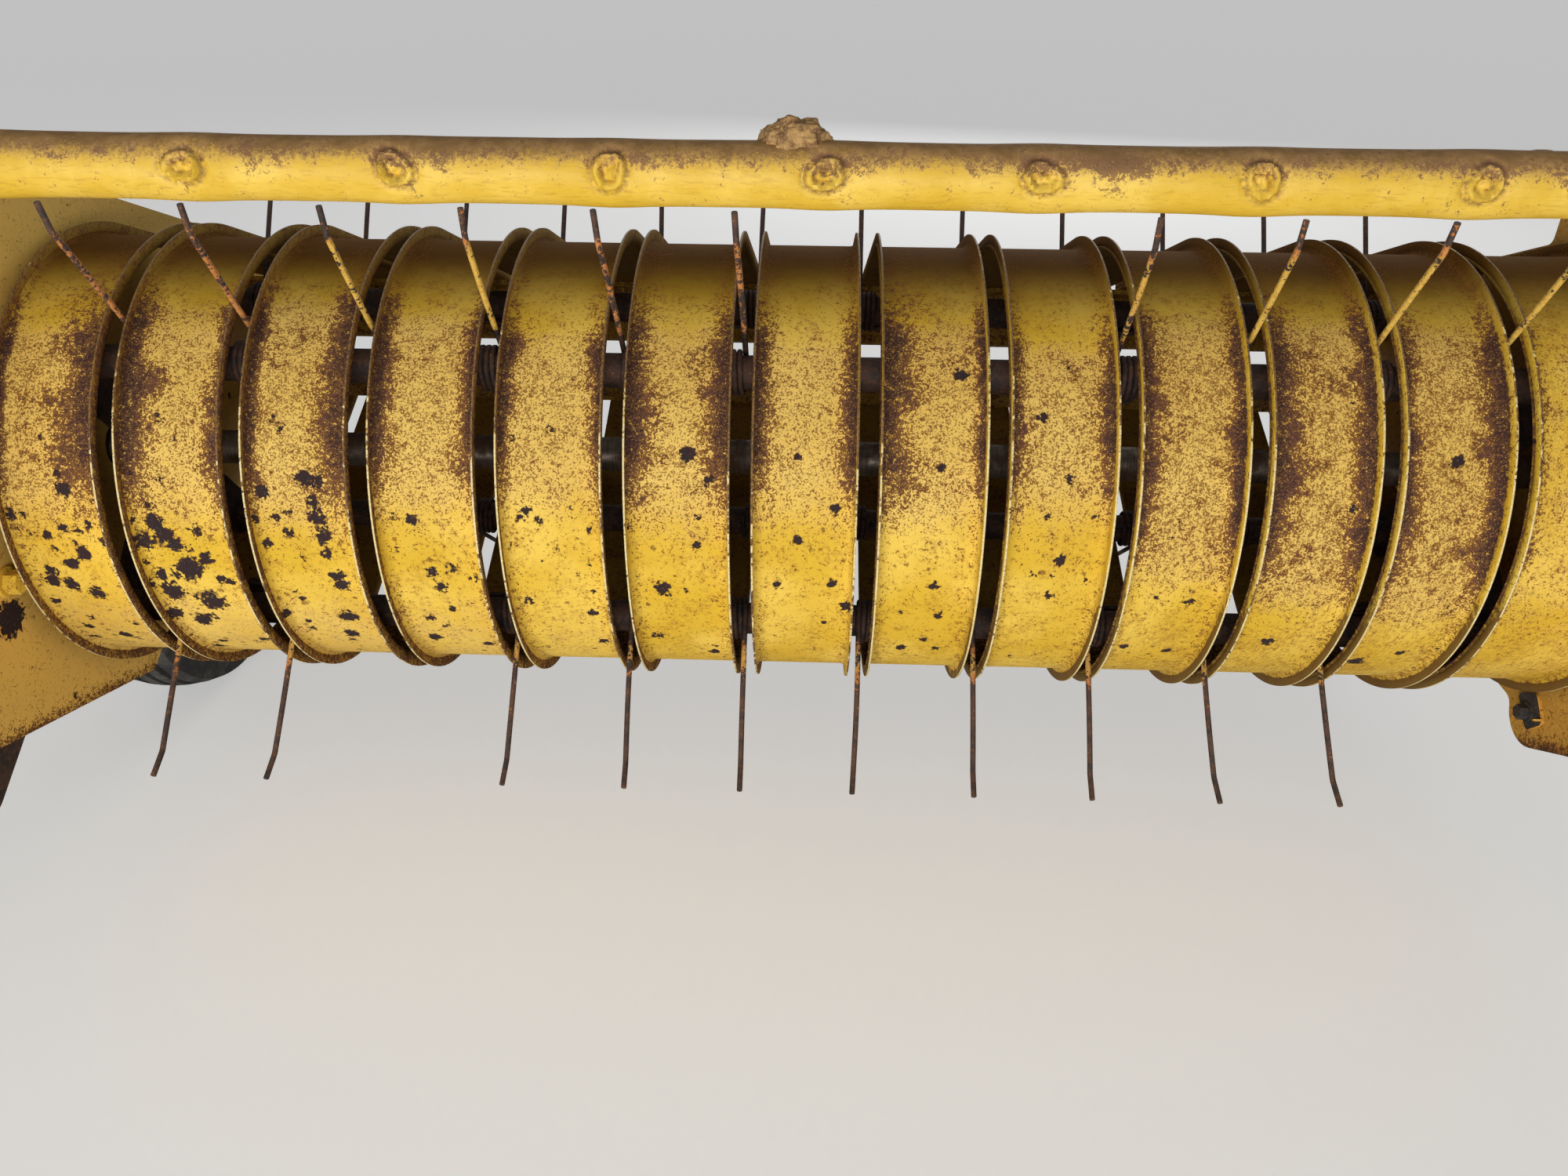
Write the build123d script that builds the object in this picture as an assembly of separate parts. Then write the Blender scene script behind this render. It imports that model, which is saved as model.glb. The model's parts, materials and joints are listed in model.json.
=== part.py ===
from build123d import *
from math import atan2, cos, degrees, radians, sin, sqrt
import os

# Pickup head of a small square baler, in millimetres.
# +X is to the right as seen from the front, +Y to the rear and +Z up.
# Everything is drawn about the reel's axis, then set down with its lift pivot on the origin.

# Where the lift pivot lies: past the ends of the bands' upper legs, and below them
PIVOT_PAST_LEGS = 21.918
PIVOT_BELOW_LEGS = 49.863

# Stripper bands: flanged channels bent round the front of the reel
TINE_PITCH = 101.6
BAND_COUNT = 13
BAND_GAP = 15.6
CREST_R = 207.0
FLANGE_RISE = 12.0
BAND_SHEET = 2.5
BAND_BEVEL = 5.0
LEG_TILT = 22.0
LEG_LENGTH = 330.0
LAST_BAND_EXTRA = 31.0

# End sheets
SHEET = 3.0
LEFT_SHEET_GAP = 13.0
RIGHT_SHEET_GAP = 7.4
NOSE_FRONT = 330.0
NOSE_ROUND = 60.0
BROW_FRONT = 300.0
BROW_HEIGHT = 90.0
BROW_ROUND = 90.0
CROWN_FRONT = 120.0
CROWN_HEIGHT = 262.0
CROWN_ROUND = 110.0
SHOULDER_HEIGHT = 245.0
SHOULDER_ALONG = 16.0
SHOULDER_ROUND = 10.0
GUARD_CORNER_PAST = 34.0
PIVOT_CORNER_BACK = 32.0
PIVOT_CORNER_RISE = 50.0
CORNER_ROUND = 34.0
KEEL_BACK = 352.0
KEEL_DROP = 196.0
HEEL_DROP = 206.0

# Rear cross members
ANGLE_LEG = 50.0
ANGLE_WALL = 5.0
PIVOT_TUBE_R = 24.15
PIVOT_BORE_R = 16.7
PIVOT_TUBE_PROUD = 6.0
LIFT_LUG_THICK = 12.0
LIFT_BORE_R = 8.25
LIFT_PAD_R = 21.0
LIFT_FOOT = 26.0
LIFT_REACH = 60.0
LIFT_RISE = 4.0

# Reel: shaft, spiders, four bars and their spring tines
SHAFT_R = 16.0
SHAFT_PROUD = 9.0
SHAFT_HOLE_CLEAR = 6.0
DRIVE_END_R = 15.0
DRIVE_END_LENGTH = 36.0
BAR_CIRCLE_R = 162.0
BAR_R = 14.3
BAR_END_CLEAR = 29.6
BAR_PROUD = 14.0
SPIDER_PLATE = 8.0
SPIDER_ARM = 42.0
SPIDER_HUB_R = 34.0
SPIDER_HUB = 40.0
SPIDER_BOSS_R = 25.0
WIRE_R = 2.4
COIL_PLAY = 0.3
COIL_WIDTH = 16.0
PRONG_LENGTH = 136.0
PRONG_TIP_LENGTH = 24.0
PRONG_BEND = 20.0
PRONG_BEND_R = 14.0
PRONG_INSET = 0.5
RUNNING_FIT = 0.05

# Reel drive and bearings
SPROCKET_TEETH = 30
CHAIN_PITCH = 15.875
CHAIN_ROLLER_R = 5.08
TOOTH_RISE = 4.0
SPROCKET_PLATE = 8.0
SPROCKET_HUB = 28.0
SPROCKET_STAND_OFF = 52.0
SPROCKET_SEAT_PROUD = 2.0
BEARING_FLANGE = 6.0
BEARING_DEPTH = 24.0
BEARING_R = 36.0
BEARING_BOLT_R = 46.0
BOLT_PAD_R = 15.0

# Windguard: a front tube on two long arms
GUARD_TUBE_R = 21.1
GUARD_TUBE_WALL = 3.0
GUARD_FRONT = 225.0
GUARD_HEIGHT = 303.0
GUARD_PIVOT_BACK = 260.0
GUARD_PIVOT_HEIGHT = 86.0
GUARD_ARM_THICK = 8.0
GUARD_ARM_WIDTH = 40.0
GUARD_ARM_CLEAR = 5.0
GUARD_PIN_R = 10.0
GUARD_HEAD_R = 17.0
GUARD_HEAD = 6.0
STOP_R = 8.0
STOP_BACK = 90.0
PART_GAP = 0.3

# Gauge wheel at the left end
WHEEL_BACK = 195.0
WHEEL_DOWN = 177.0
TYRE_R = 200.0
TYRE_HALF_WIDTH = 50.0
TYRE_SHOULDER_IN = 8.0
TYRE_SHOULDER_DROP = 9.0
RIM_R = 104.0
RIM_HALF_WIDTH = 38.0
RIM_WALL = 4.0
WHEEL_HUB_R = 26.0
AXLE_R = 12.5
WHEEL_CLEAR = 12.0
WHEEL_ARM_THICK = 10.0
WHEEL_ARM_WIDTH = 56.0
WHEEL_ARM_BACK = 82.0
WHEEL_ARM_DOWN = 72.0
AXLE_CAP = 8.0

# Nose shoe below the left sheet
SHOE_THICK = 6.0

# Derived places
WEB_R = CREST_R - FLANGE_RISE
LEG_SEAT_R = WEB_R - BAND_SHEET
LEG_END_BACK = LEG_SEAT_R * sin(radians(LEG_TILT)) + LEG_LENGTH * cos(radians(LEG_TILT))
LEG_END_HEIGHT = LEG_SEAT_R * cos(radians(LEG_TILT)) - LEG_LENGTH * sin(radians(LEG_TILT))
PIVOT_BACK = LEG_END_BACK + PIVOT_PAST_LEGS
PIVOT_HEIGHT = LEG_END_HEIGHT - PIVOT_BELOW_LEGS
BAND_WIDTH = TINE_PITCH - BAND_GAP
BANDS_LEFT = -(BAND_COUNT - 1) / 2 * TINE_PITCH - BAND_WIDTH / 2
BANDS_RIGHT = (BAND_COUNT - 1) / 2 * TINE_PITCH + BAND_WIDTH / 2 + LAST_BAND_EXTRA
LEFT_FACE = BANDS_LEFT - LEFT_SHEET_GAP
LEFT_OUT = LEFT_FACE - SHEET
RIGHT_FACE = BANDS_RIGHT + RIGHT_SHEET_GAP
RIGHT_OUT = RIGHT_FACE + SHEET
COIL_INNER_R = BAR_R + COIL_PLAY
COIL_MEAN_R = COIL_INNER_R + WIRE_R
COIL_OUTER_R = COIL_INNER_R + 2 * WIRE_R
GAPS_X = [(i - BAND_COUNT / 2 + 1) * TINE_PITCH for i in range(BAND_COUNT - 1)]
TYRE_IN = LEFT_OUT - WHEEL_ARM_THICK - WHEEL_CLEAR
WHEEL_X = TYRE_IN - TYRE_HALF_WIDTH
BAR_HALF = -LEFT_FACE - BAR_END_CLEAR
SPIDER_X = BAR_HALF - BAR_PROUD
SHAFT_LEFT = LEFT_OUT - BEARING_DEPTH - SHAFT_PROUD
SPROCKET_X = RIGHT_OUT + SPROCKET_STAND_OFF
DRIVE_END_X = SPROCKET_X + SPROCKET_PLATE + SPROCKET_SEAT_PROUD
PIVOT_TUBE_HALF = RIGHT_OUT + PIVOT_TUBE_PROUD
LIFT_LUG_X = 3 * TINE_PITCH

# Reel bars: name, angle of the bar, direction of its tines, gaps whose pair is gone, gaps with a lost prong.
# Angles run from straight ahead towards straight up, the way the reel turns.
REEL_BARS = [
    ("tine_bar_1", 49.0, 55.5, (7, 8), ()),
    ("tine_bar_2", -41.0, -44.6, (), (3, 12)),
    ("tine_bar_3", 139.0, 122.7, (), ()),
    ("tine_bar_4", 229.0, 216.5, (), ()),
]

# End sheet edges: lowest corner to the front, its drop and rounding, heel to the front and its rounding,
# drop of the nose corner, rise of the rear edge over the bands' upper legs
LEFT_EDGE = (48.0, 229.0, 14.0, 10.0, 30.0, 139.0, 27.0)
RIGHT_EDGE = (94.0, 247.0, 33.0, 75.0, 12.0, 112.0, 4.0)

# Nose shoe corners: to the front, down, corner radius
SHOE_OUTLINE = [
    (226, 160, 6),
    (300, 207, 30),
    (384, 186, 40),
    (392, 110, 30),
    (300, 60, 10),
]


def ahead(radius, angle):
    """Side-view point at a radius and an angle that runs from straight ahead to straight up."""
    return Vector(-radius * cos(radians(angle)), radius * sin(radians(angle)))


def plate(face, x_low, x_high):
    """Side-view face made solid between two places across the machine."""
    solid = extrude(Plane.YZ * face, amount=x_high - x_low, dir=(1, 0, 0))
    return Pos(x_low, 0, 0) * solid


def bar(radius, x_low, x_high, back=0.0, up=0.0):
    """Round bar across the machine."""
    place = Pos((x_low + x_high) / 2, back, up) * Rot(0, 90, 0)
    return place * Cylinder(radius, x_high - x_low)


def sheet_corners(low_front, low_drop, low_round, heel_front, heel_round, nose_drop, rear_rise):
    """Corners of an end sheet, from the lowest one forwards and over the top."""
    pivot_corner = PIVOT_BACK + PIVOT_CORNER_BACK
    step_foot = leg_point(CREST_R + rear_rise, 1, SHOULDER_ALONG)
    tilt = radians(LEG_TILT)
    guard_along = GUARD_PIVOT_BACK * cos(tilt) - GUARD_PIVOT_HEIGHT * sin(tilt)
    guard_corner = leg_point(CREST_R + rear_rise, 1, guard_along + GUARD_CORNER_PAST)
    return [
        (-low_front, -low_drop, low_round),
        (-NOSE_FRONT, -nose_drop, NOSE_ROUND),
        (-BROW_FRONT, BROW_HEIGHT, BROW_ROUND),
        (-CROWN_FRONT, CROWN_HEIGHT, CROWN_ROUND),
        (step_foot[0], SHOULDER_HEIGHT, SHOULDER_ROUND),
        (*step_foot, SHOULDER_ROUND),
        (*guard_corner, CORNER_ROUND),
        (pivot_corner, PIVOT_HEIGHT + PIVOT_CORNER_RISE, CORNER_ROUND),
        (pivot_corner, PIVOT_HEIGHT - PIVOT_CORNER_RISE, CORNER_ROUND),
        (KEEL_BACK, -KEEL_DROP, CORNER_ROUND),
        (-heel_front, -HEEL_DROP, heel_round),
    ]


def outline_face(corners):
    """Side-view face with rounded corners."""
    points = [(back, up) for back, up, radius in corners]
    radii = [radius for back, up, radius in corners]
    return make_face(FilletPolyline(*points, radius=radii, close=True).edges())


def slot_face(start, end, width):
    """Side-view flat bar with round ends."""
    run = end - start
    middle = (start + end) / 2
    turn = degrees(atan2(run.Y, run.X))
    face = Pos(middle.X, middle.Y) * Rot(0, 0, turn) * Rectangle(run.length, width)
    for tip in (start, end):
        face += Pos(tip.X, tip.Y) * Circle(width / 2)
    return face


def leg_point(radius, side, along):
    """Side-view point on a band's straight leg; side is 1 for the upper leg and -1 for the lower."""
    tilt = radians(LEG_TILT)
    back = radius * sin(tilt) + along * cos(tilt)
    up = radius * cos(tilt) - along * sin(tilt)
    return (back, side * up)


def band_section(x_low, x_high):
    """Section of a band: a web with a flange turned outward along each edge, its bends bevelled; (x, radius)."""
    inner = WEB_R - BAND_SHEET
    outer_bevel = BAND_BEVEL + BAND_SHEET * (2 - sqrt(2))
    half = [
        (outer_bevel, inner),
        (0, inner + outer_bevel),
        (0, CREST_R),
        (BAND_SHEET, CREST_R),
        (BAND_SHEET, WEB_R + BAND_BEVEL),
        (BAND_SHEET + BAND_BEVEL, WEB_R),
    ]
    left = [(x_low + x, radius) for x, radius in half]
    right = [(x_high - x, radius) for x, radius in reversed(half)]
    return make_face(Polyline(*left, *right, close=True))


def stripper(x_low, x_high):
    """One band: its section swung round the front of the reel, with a straight leg at each end."""
    section = Plane.XZ * band_section(x_low, x_high)
    upper_end = Rot(-LEG_TILT, 0, 0) * section
    front = revolve(upper_end, Axis.X, revolution_arc=180 + 2 * LEG_TILT)
    to_rear = (0, cos(radians(LEG_TILT)), -sin(radians(LEG_TILT)))
    upper_leg = extrude(upper_end, amount=LEG_LENGTH, dir=to_rear)
    return front + upper_leg + mirror(upper_leg, about=Plane.XY)


def leg_block(side, radius_a, radius_b, along_a, along_b):
    """Side-view rectangle square to a band's straight leg."""
    corners = [
        leg_point(radius_a, side, along_a),
        leg_point(radius_b, side, along_a),
        leg_point(radius_b, side, along_b),
        leg_point(radius_a, side, along_b),
    ]
    return make_face(Polyline(*corners, close=True))


def cross_angle(side):
    """Rear angle inside the legs of all the bands: its second leg hangs down, on the lower one behind them."""
    inner = LEG_SEAT_R - ANGLE_WALL
    rear = LEG_LENGTH
    hang = LEG_SEAT_R - ANGLE_LEG
    if side < 0:
        rear = LEG_LENGTH + PART_GAP + ANGLE_WALL
        hang = inner + ANGLE_LEG
    face = leg_block(side, inner, LEG_SEAT_R, LEG_LENGTH - ANGLE_LEG, rear)
    face += leg_block(side, min(inner, hang), max(LEG_SEAT_R, hang), rear - ANGLE_WALL, rear)
    return plate(face, LEFT_FACE, RIGHT_FACE)


def end_sheet(edge, x_inner, outward):
    """End sheet with its shaft hole, guard pivot hole, pivot tube hole and guard stop."""
    face = outline_face(sheet_corners(*edge))
    face -= Circle(SHAFT_R + SHAFT_HOLE_CLEAR)
    face -= Pos(GUARD_PIVOT_BACK, GUARD_PIVOT_HEIGHT) * Circle(GUARD_PIN_R + RUNNING_FIT)
    face -= Pos(PIVOT_BACK, PIVOT_HEIGHT) * Circle(PIVOT_TUBE_R)
    x_outer = x_inner + outward * SHEET
    sheet = plate(face, min(x_inner, x_outer), max(x_inner, x_outer))
    x_stop = x_outer + outward * (GUARD_ARM_CLEAR + GUARD_ARM_THICK)
    stop = bar(STOP_R, min(x_inner, x_stop), max(x_inner, x_stop), STOP_BACK, stop_height())
    return sheet + stop


def stop_height():
    """Height of the stop that a resting guard arm lies on."""
    fall = (GUARD_HEIGHT - GUARD_PIVOT_HEIGHT) / (GUARD_FRONT + GUARD_PIVOT_BACK)
    below_line = (GUARD_ARM_WIDTH / 2 + STOP_R + PART_GAP) / cos(atan2(fall, 1))
    return GUARD_HEIGHT - fall * (GUARD_FRONT + STOP_BACK) - below_line


def bearing(x_face, outward):
    """Two-bolt flanged bearing on the outer face of an end sheet."""
    pads = [Pos(0, side * BEARING_BOLT_R) * Circle(BOLT_PAD_R) for side in (1, -1)]
    flange = make_hull((Circle(BEARING_R) + pads).edges()) - Circle(SHAFT_R + RUNNING_FIT)
    housing = Circle(BEARING_R - BEARING_FLANGE) - Circle(SHAFT_R + RUNNING_FIT)
    x_flange = x_face + outward * BEARING_FLANGE
    x_end = x_face + outward * BEARING_DEPTH
    solid = plate(flange, min(x_face, x_flange), max(x_face, x_flange))
    return solid + plate(housing, min(x_face, x_end), max(x_face, x_end))


def spider(x_middle):
    """Four-armed plate with a hub on the shaft and a boss round each bar."""
    face = Circle(SPIDER_HUB_R)
    bosses = Sketch()
    for name, angle, tine_angle, gone, lost in REEL_BARS:
        middle = ahead(BAR_CIRCLE_R / 2, angle)
        centre = ahead(BAR_CIRCLE_R, angle)
        face += Pos(middle.X, middle.Y) * Rot(0, 0, 180 - angle) * Rectangle(BAR_CIRCLE_R, SPIDER_ARM)
        face += Pos(centre.X, centre.Y) * Circle(SPIDER_BOSS_R)
        bosses += Pos(centre.X, centre.Y) * Circle(BAR_R + RUNNING_FIT)
    solid = plate(face, x_middle - SPIDER_PLATE / 2, x_middle + SPIDER_PLATE / 2)
    solid += bar(SPIDER_HUB_R, x_middle - SPIDER_HUB / 2, x_middle + SPIDER_HUB / 2)
    solid -= bar(SHAFT_R + RUNNING_FIT, x_middle - SPIDER_HUB, x_middle + SPIDER_HUB)
    return solid - plate(bosses, x_middle - SPIDER_PLATE, x_middle + SPIDER_PLATE)


def prong(bar_angle, tine_angle):
    """One tine wire: it leaves its coil on the leading side and bends forward near its tip."""
    root = ahead(BAR_CIRCLE_R, bar_angle) + ahead(COIL_MEAN_R - PRONG_INSET, tine_angle + 90)
    bend = root + ahead(PRONG_LENGTH, tine_angle)
    tip = bend + ahead(PRONG_TIP_LENGTH, tine_angle + PRONG_BEND)
    points = [Vector(0, point.X, point.Y) for point in (root, bend, tip)]
    path = FilletPolyline(*points, radius=[PRONG_BEND_R])
    return sweep(Plane(origin=points[0], z_dir=points[1] - points[0]) * Circle(WIRE_R), path=path)


def tine_bar(bar_angle, tine_angle, gone, lost):
    """Reel bar with its double spring tines: two coils, the wire that joins them and two prongs."""
    centre = ahead(BAR_CIRCLE_R, bar_angle)
    wire = centre + ahead(BAR_R + WIRE_R / 2, tine_angle + 180)
    solid = bar(BAR_R, -BAR_HALF, BAR_HALF, centre.X, centre.Y)
    one_prong = prong(bar_angle, tine_angle)
    pieces = []
    for place, x_gap in enumerate(GAPS_X, start=1):
        if place in gone:
            continue
        half = COIL_WIDTH / 2
        pieces.append(bar(COIL_OUTER_R, x_gap - half, x_gap + half, centre.X, centre.Y))
        if place not in lost:
            pieces.append(Pos(x_gap, 0, 0) * one_prong)
        if place % 2:
            pieces.append(bar(WIRE_R, x_gap, x_gap + TINE_PITCH, wire.X, wire.Y))
    return solid.fuse(*pieces)


def sprocket(x_low):
    """Drive sprocket: a toothed plate on a hub."""
    pitch_r = CHAIN_PITCH / 2 / sin(radians(180 / SPROCKET_TEETH))
    face = Circle(pitch_r + TOOTH_RISE)
    for i in range(SPROCKET_TEETH):
        centre = ahead(pitch_r, i * 360 / SPROCKET_TEETH)
        face -= Pos(centre.X, centre.Y) * Circle(CHAIN_ROLLER_R)
    x_high = x_low + SPROCKET_PLATE
    solid = plate(face, x_low, x_high) + bar(SPIDER_HUB_R, x_high - SPROCKET_HUB, x_high)
    return solid - bar(SHAFT_R + RUNNING_FIT, x_high - SPROCKET_HUB, x_high)


def reel_shaft():
    """Reel shaft, turned down at its drive end."""
    return bar(SHAFT_R, SHAFT_LEFT, DRIVE_END_X) + bar(DRIVE_END_R, DRIVE_END_X, DRIVE_END_X + DRIVE_END_LENGTH)


def guard_tube():
    """Front tube of the windguard, from arm to arm."""
    low = LEFT_OUT - GUARD_ARM_CLEAR
    high = RIGHT_OUT + GUARD_ARM_CLEAR
    outer = bar(GUARD_TUBE_R, low, high, -GUARD_FRONT, GUARD_HEIGHT)
    return outer - bar(GUARD_TUBE_R - GUARD_TUBE_WALL, low, high, -GUARD_FRONT, GUARD_HEIGHT)


def guard_arm(x_outer_face, outward):
    """Windguard arm with its pivot pin through the end sheet and a head inside."""
    x_low = x_outer_face + outward * GUARD_ARM_CLEAR
    x_high = x_low + outward * GUARD_ARM_THICK
    start = Vector(-GUARD_FRONT, GUARD_HEIGHT)
    end = Vector(GUARD_PIVOT_BACK, GUARD_PIVOT_HEIGHT)
    face = slot_face(start, end, GUARD_ARM_WIDTH) + Pos(start.X, start.Y) * Circle(GUARD_TUBE_R)
    arm = plate(face, min(x_low, x_high), max(x_low, x_high))
    x_head = x_outer_face - outward * (SHEET + PART_GAP)
    x_tip = x_head - outward * GUARD_HEAD
    arm += bar(GUARD_PIN_R, min(x_high, x_tip), max(x_high, x_tip), end.X, end.Y)
    arm += bar(GUARD_HEAD_R, min(x_head, x_tip), max(x_head, x_tip), end.X, end.Y)
    x_boss = x_outer_face + outward * PART_GAP
    return arm + bar(GUARD_HEAD_R, min(x_boss, x_low), max(x_boss, x_low), end.X, end.Y)


def wheel_solid(edges):
    """Section of half a turn made solid about the gauge wheel's axle; section points are (x, radius)."""
    face = Plane.XZ * make_face(edges)
    return Pos(WHEEL_X, WHEEL_BACK, -WHEEL_DOWN) * revolve(face, Axis.X)


def tyre():
    """Gauge wheel tyre, filled down to its rim."""
    bead = (RIM_HALF_WIDTH, RIM_R)
    belly = (TYRE_HALF_WIDTH, (RIM_R + TYRE_R) / 2)
    shoulder = (TYRE_HALF_WIDTH - TYRE_SHOULDER_IN, TYRE_R - TYRE_SHOULDER_DROP)
    crown = (0, TYRE_R)
    mirror = [(-x, r) for x, r in (bead, belly, shoulder)]
    return wheel_solid([
        ThreePointArc(bead, belly, shoulder),
        ThreePointArc(shoulder, crown, mirror[2]),
        ThreePointArc(mirror[2], mirror[1], mirror[0]),
        Line(mirror[0], bead),
    ])


def rim():
    """Pressed rim with its disc and hub."""
    half = RIM_HALF_WIDTH
    band = [(-half, RIM_R), (half, RIM_R), (half, RIM_R - RIM_WALL), (-half, RIM_R - RIM_WALL)]
    disc = [(-RIM_WALL, RIM_R - RIM_WALL), (RIM_WALL, RIM_R - RIM_WALL)]
    disc += [(RIM_WALL, WHEEL_HUB_R), (-RIM_WALL, WHEEL_HUB_R)]
    bore = AXLE_R + RUNNING_FIT
    hub = [(-half, bore), (half, bore), (half, WHEEL_HUB_R), (-half, WHEEL_HUB_R)]
    solids = [wheel_solid(Polyline(*points, close=True).edges()) for points in (band, disc, hub)]
    return solids[0] + solids[1] + solids[2]


def wheel_arm():
    """Gauge wheel arm, bolted to the left sheet, with its stub axle and end cap."""
    top = Vector(WHEEL_ARM_BACK, -WHEEL_ARM_DOWN)
    low = Vector(WHEEL_BACK, -WHEEL_DOWN)
    arm = plate(slot_face(top, low, WHEEL_ARM_WIDTH), LEFT_OUT - WHEEL_ARM_THICK, LEFT_OUT)
    x_hub = WHEEL_X + RIM_HALF_WIDTH + PART_GAP
    x_cap = WHEEL_X - RIM_HALF_WIDTH - PART_GAP
    arm += bar(AXLE_R, x_cap - AXLE_CAP, LEFT_OUT, low.X, low.Y)
    arm += bar(WHEEL_HUB_R, x_hub, LEFT_OUT, low.X, low.Y)
    return arm + bar(AXLE_R + AXLE_CAP, x_cap - AXLE_CAP, x_cap, low.X, low.Y)


def lift_lug():
    """Lug on the upper cross angle for the lift linkage."""
    foot_high = (LEG_END_BACK, LEG_END_HEIGHT)
    foot_low = leg_point(LEG_SEAT_R - LIFT_FOOT, 1, LEG_LENGTH)
    hole = Vector(foot_high[0] + LIFT_REACH, foot_high[1] + LIFT_RISE)
    foot = make_face(Polyline(foot_high, foot_low, (hole.X, hole.Y), close=True))
    pad = Pos(hole.X, hole.Y) * Circle(LIFT_PAD_R)
    face = make_hull((foot + pad).edges()) - Pos(hole.X, hole.Y) * Circle(LIFT_BORE_R)
    return plate(face, LIFT_LUG_X - LIFT_LUG_THICK / 2, LIFT_LUG_X + LIFT_LUG_THICK / 2)


def pivot_tube():
    """Rear tube that carries the head on the machine's pivot shaft."""
    outer = bar(PIVOT_TUBE_R, -PIVOT_TUBE_HALF, PIVOT_TUBE_HALF, PIVOT_BACK, PIVOT_HEIGHT)
    return outer - bar(PIVOT_BORE_R, -PIVOT_TUBE_HALF, PIVOT_TUBE_HALF, PIVOT_BACK, PIVOT_HEIGHT)


def build():
    """Every piece by its name, about the reel's axis."""
    pieces = {}
    for i in range(BAND_COUNT):
        x_low = BANDS_LEFT + i * TINE_PITCH
        x_high = x_low + BAND_WIDTH
        if i == BAND_COUNT - 1:
            x_high = BANDS_RIGHT
        pieces[f"stripper_{i + 1:02d}"] = stripper(x_low, x_high)
    pieces["left_end_sheet"] = end_sheet(LEFT_EDGE, LEFT_FACE, -1)
    pieces["right_end_sheet"] = end_sheet(RIGHT_EDGE, RIGHT_FACE, 1)
    pieces["upper_cross_angle"] = cross_angle(1)
    pieces["lower_cross_angle"] = cross_angle(-1)
    pieces["pivot_tube"] = pivot_tube()
    pieces["lift_lug"] = lift_lug()
    pieces["left_bearing"] = bearing(LEFT_OUT, -1)
    pieces["right_bearing"] = bearing(RIGHT_OUT, 1)
    shoe = outline_face([(-front, -down, radius) for front, down, radius in SHOE_OUTLINE])
    pieces["nose_shoe"] = plate(shoe, LEFT_OUT - SHOE_THICK, LEFT_OUT)
    pieces["gauge_wheel_arm"] = wheel_arm()
    pieces["reel_shaft"] = reel_shaft()
    for name, x_middle in (("left", -SPIDER_X), ("middle", 0.0), ("right", SPIDER_X)):
        pieces[f"reel_spider_{name}"] = spider(x_middle)
    for name, bar_angle, tine_angle, gone, lost in REEL_BARS:
        pieces[name] = tine_bar(bar_angle, tine_angle, gone, lost)
    pieces["drive_sprocket"] = sprocket(SPROCKET_X)
    pieces["guard_tube"] = guard_tube()
    pieces["guard_arm_left"] = guard_arm(LEFT_OUT, -1)
    pieces["guard_arm_right"] = guard_arm(RIGHT_OUT, 1)
    pieces["gauge_tyre"] = tyre()
    pieces["gauge_rim"] = rim()
    return pieces


os.makedirs("parts", exist_ok=True)
place = Pos(0, -PIVOT_BACK, -PIVOT_HEIGHT)
for name, piece in build().items():
    export_step(place * piece, f"parts/{name}.step")
    print(name, "ready")
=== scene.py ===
# %% [markdown]
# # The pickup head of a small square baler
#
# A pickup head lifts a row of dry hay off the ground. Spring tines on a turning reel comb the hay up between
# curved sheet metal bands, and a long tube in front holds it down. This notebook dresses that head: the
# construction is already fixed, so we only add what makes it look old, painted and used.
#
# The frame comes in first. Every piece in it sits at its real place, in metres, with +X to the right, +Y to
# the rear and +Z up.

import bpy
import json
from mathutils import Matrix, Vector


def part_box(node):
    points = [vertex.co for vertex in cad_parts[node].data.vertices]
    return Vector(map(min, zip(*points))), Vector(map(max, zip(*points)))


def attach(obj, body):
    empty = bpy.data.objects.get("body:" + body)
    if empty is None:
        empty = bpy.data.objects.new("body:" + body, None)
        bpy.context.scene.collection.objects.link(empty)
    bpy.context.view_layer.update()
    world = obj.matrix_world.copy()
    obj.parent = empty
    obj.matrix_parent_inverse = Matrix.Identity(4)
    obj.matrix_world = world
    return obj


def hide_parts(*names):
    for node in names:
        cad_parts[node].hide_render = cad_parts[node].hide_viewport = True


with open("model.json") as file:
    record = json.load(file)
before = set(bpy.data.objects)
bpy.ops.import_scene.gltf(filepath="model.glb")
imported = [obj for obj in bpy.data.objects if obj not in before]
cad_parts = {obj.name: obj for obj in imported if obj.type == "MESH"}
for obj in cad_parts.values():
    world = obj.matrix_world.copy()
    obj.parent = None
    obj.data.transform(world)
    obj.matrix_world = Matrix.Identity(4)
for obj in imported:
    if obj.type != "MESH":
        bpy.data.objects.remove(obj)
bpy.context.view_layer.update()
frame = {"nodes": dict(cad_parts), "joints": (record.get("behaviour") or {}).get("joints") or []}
print("nodes in the frame:", len(frame["nodes"]))

# %% The rest of the tools
import json
import random
from math import atan2, cos, degrees, exp, hypot, pi, radians, sin, tan

import bmesh
import bpy
from mathutils import Matrix, Vector, noise

random.seed(13)

# %% [markdown]
# ## Where things are
#
# Three joints tell us three axes: the reel's, the windguard's pivot and the gauge wheel's. We read them from
# the frame rather than typing them again. Side-view places are easiest as a radius and an angle about the
# reel, where 0 degrees is straight ahead and 90 is straight up, the way the reel turns.

# %% Axes and side-view places
AXIS = {joint["name"]: Vector(joint["pos_m"]) for joint in frame["joints"]}
REEL = AXIS["reel_spin"]
WHEEL = AXIS["gauge_wheel_spin"]
ACROSS = Vector((1, 0, 0))
UP_THE_FRONT = Vector((-1, 0, 0))  # turning about this axis goes from straight ahead to straight up


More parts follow.
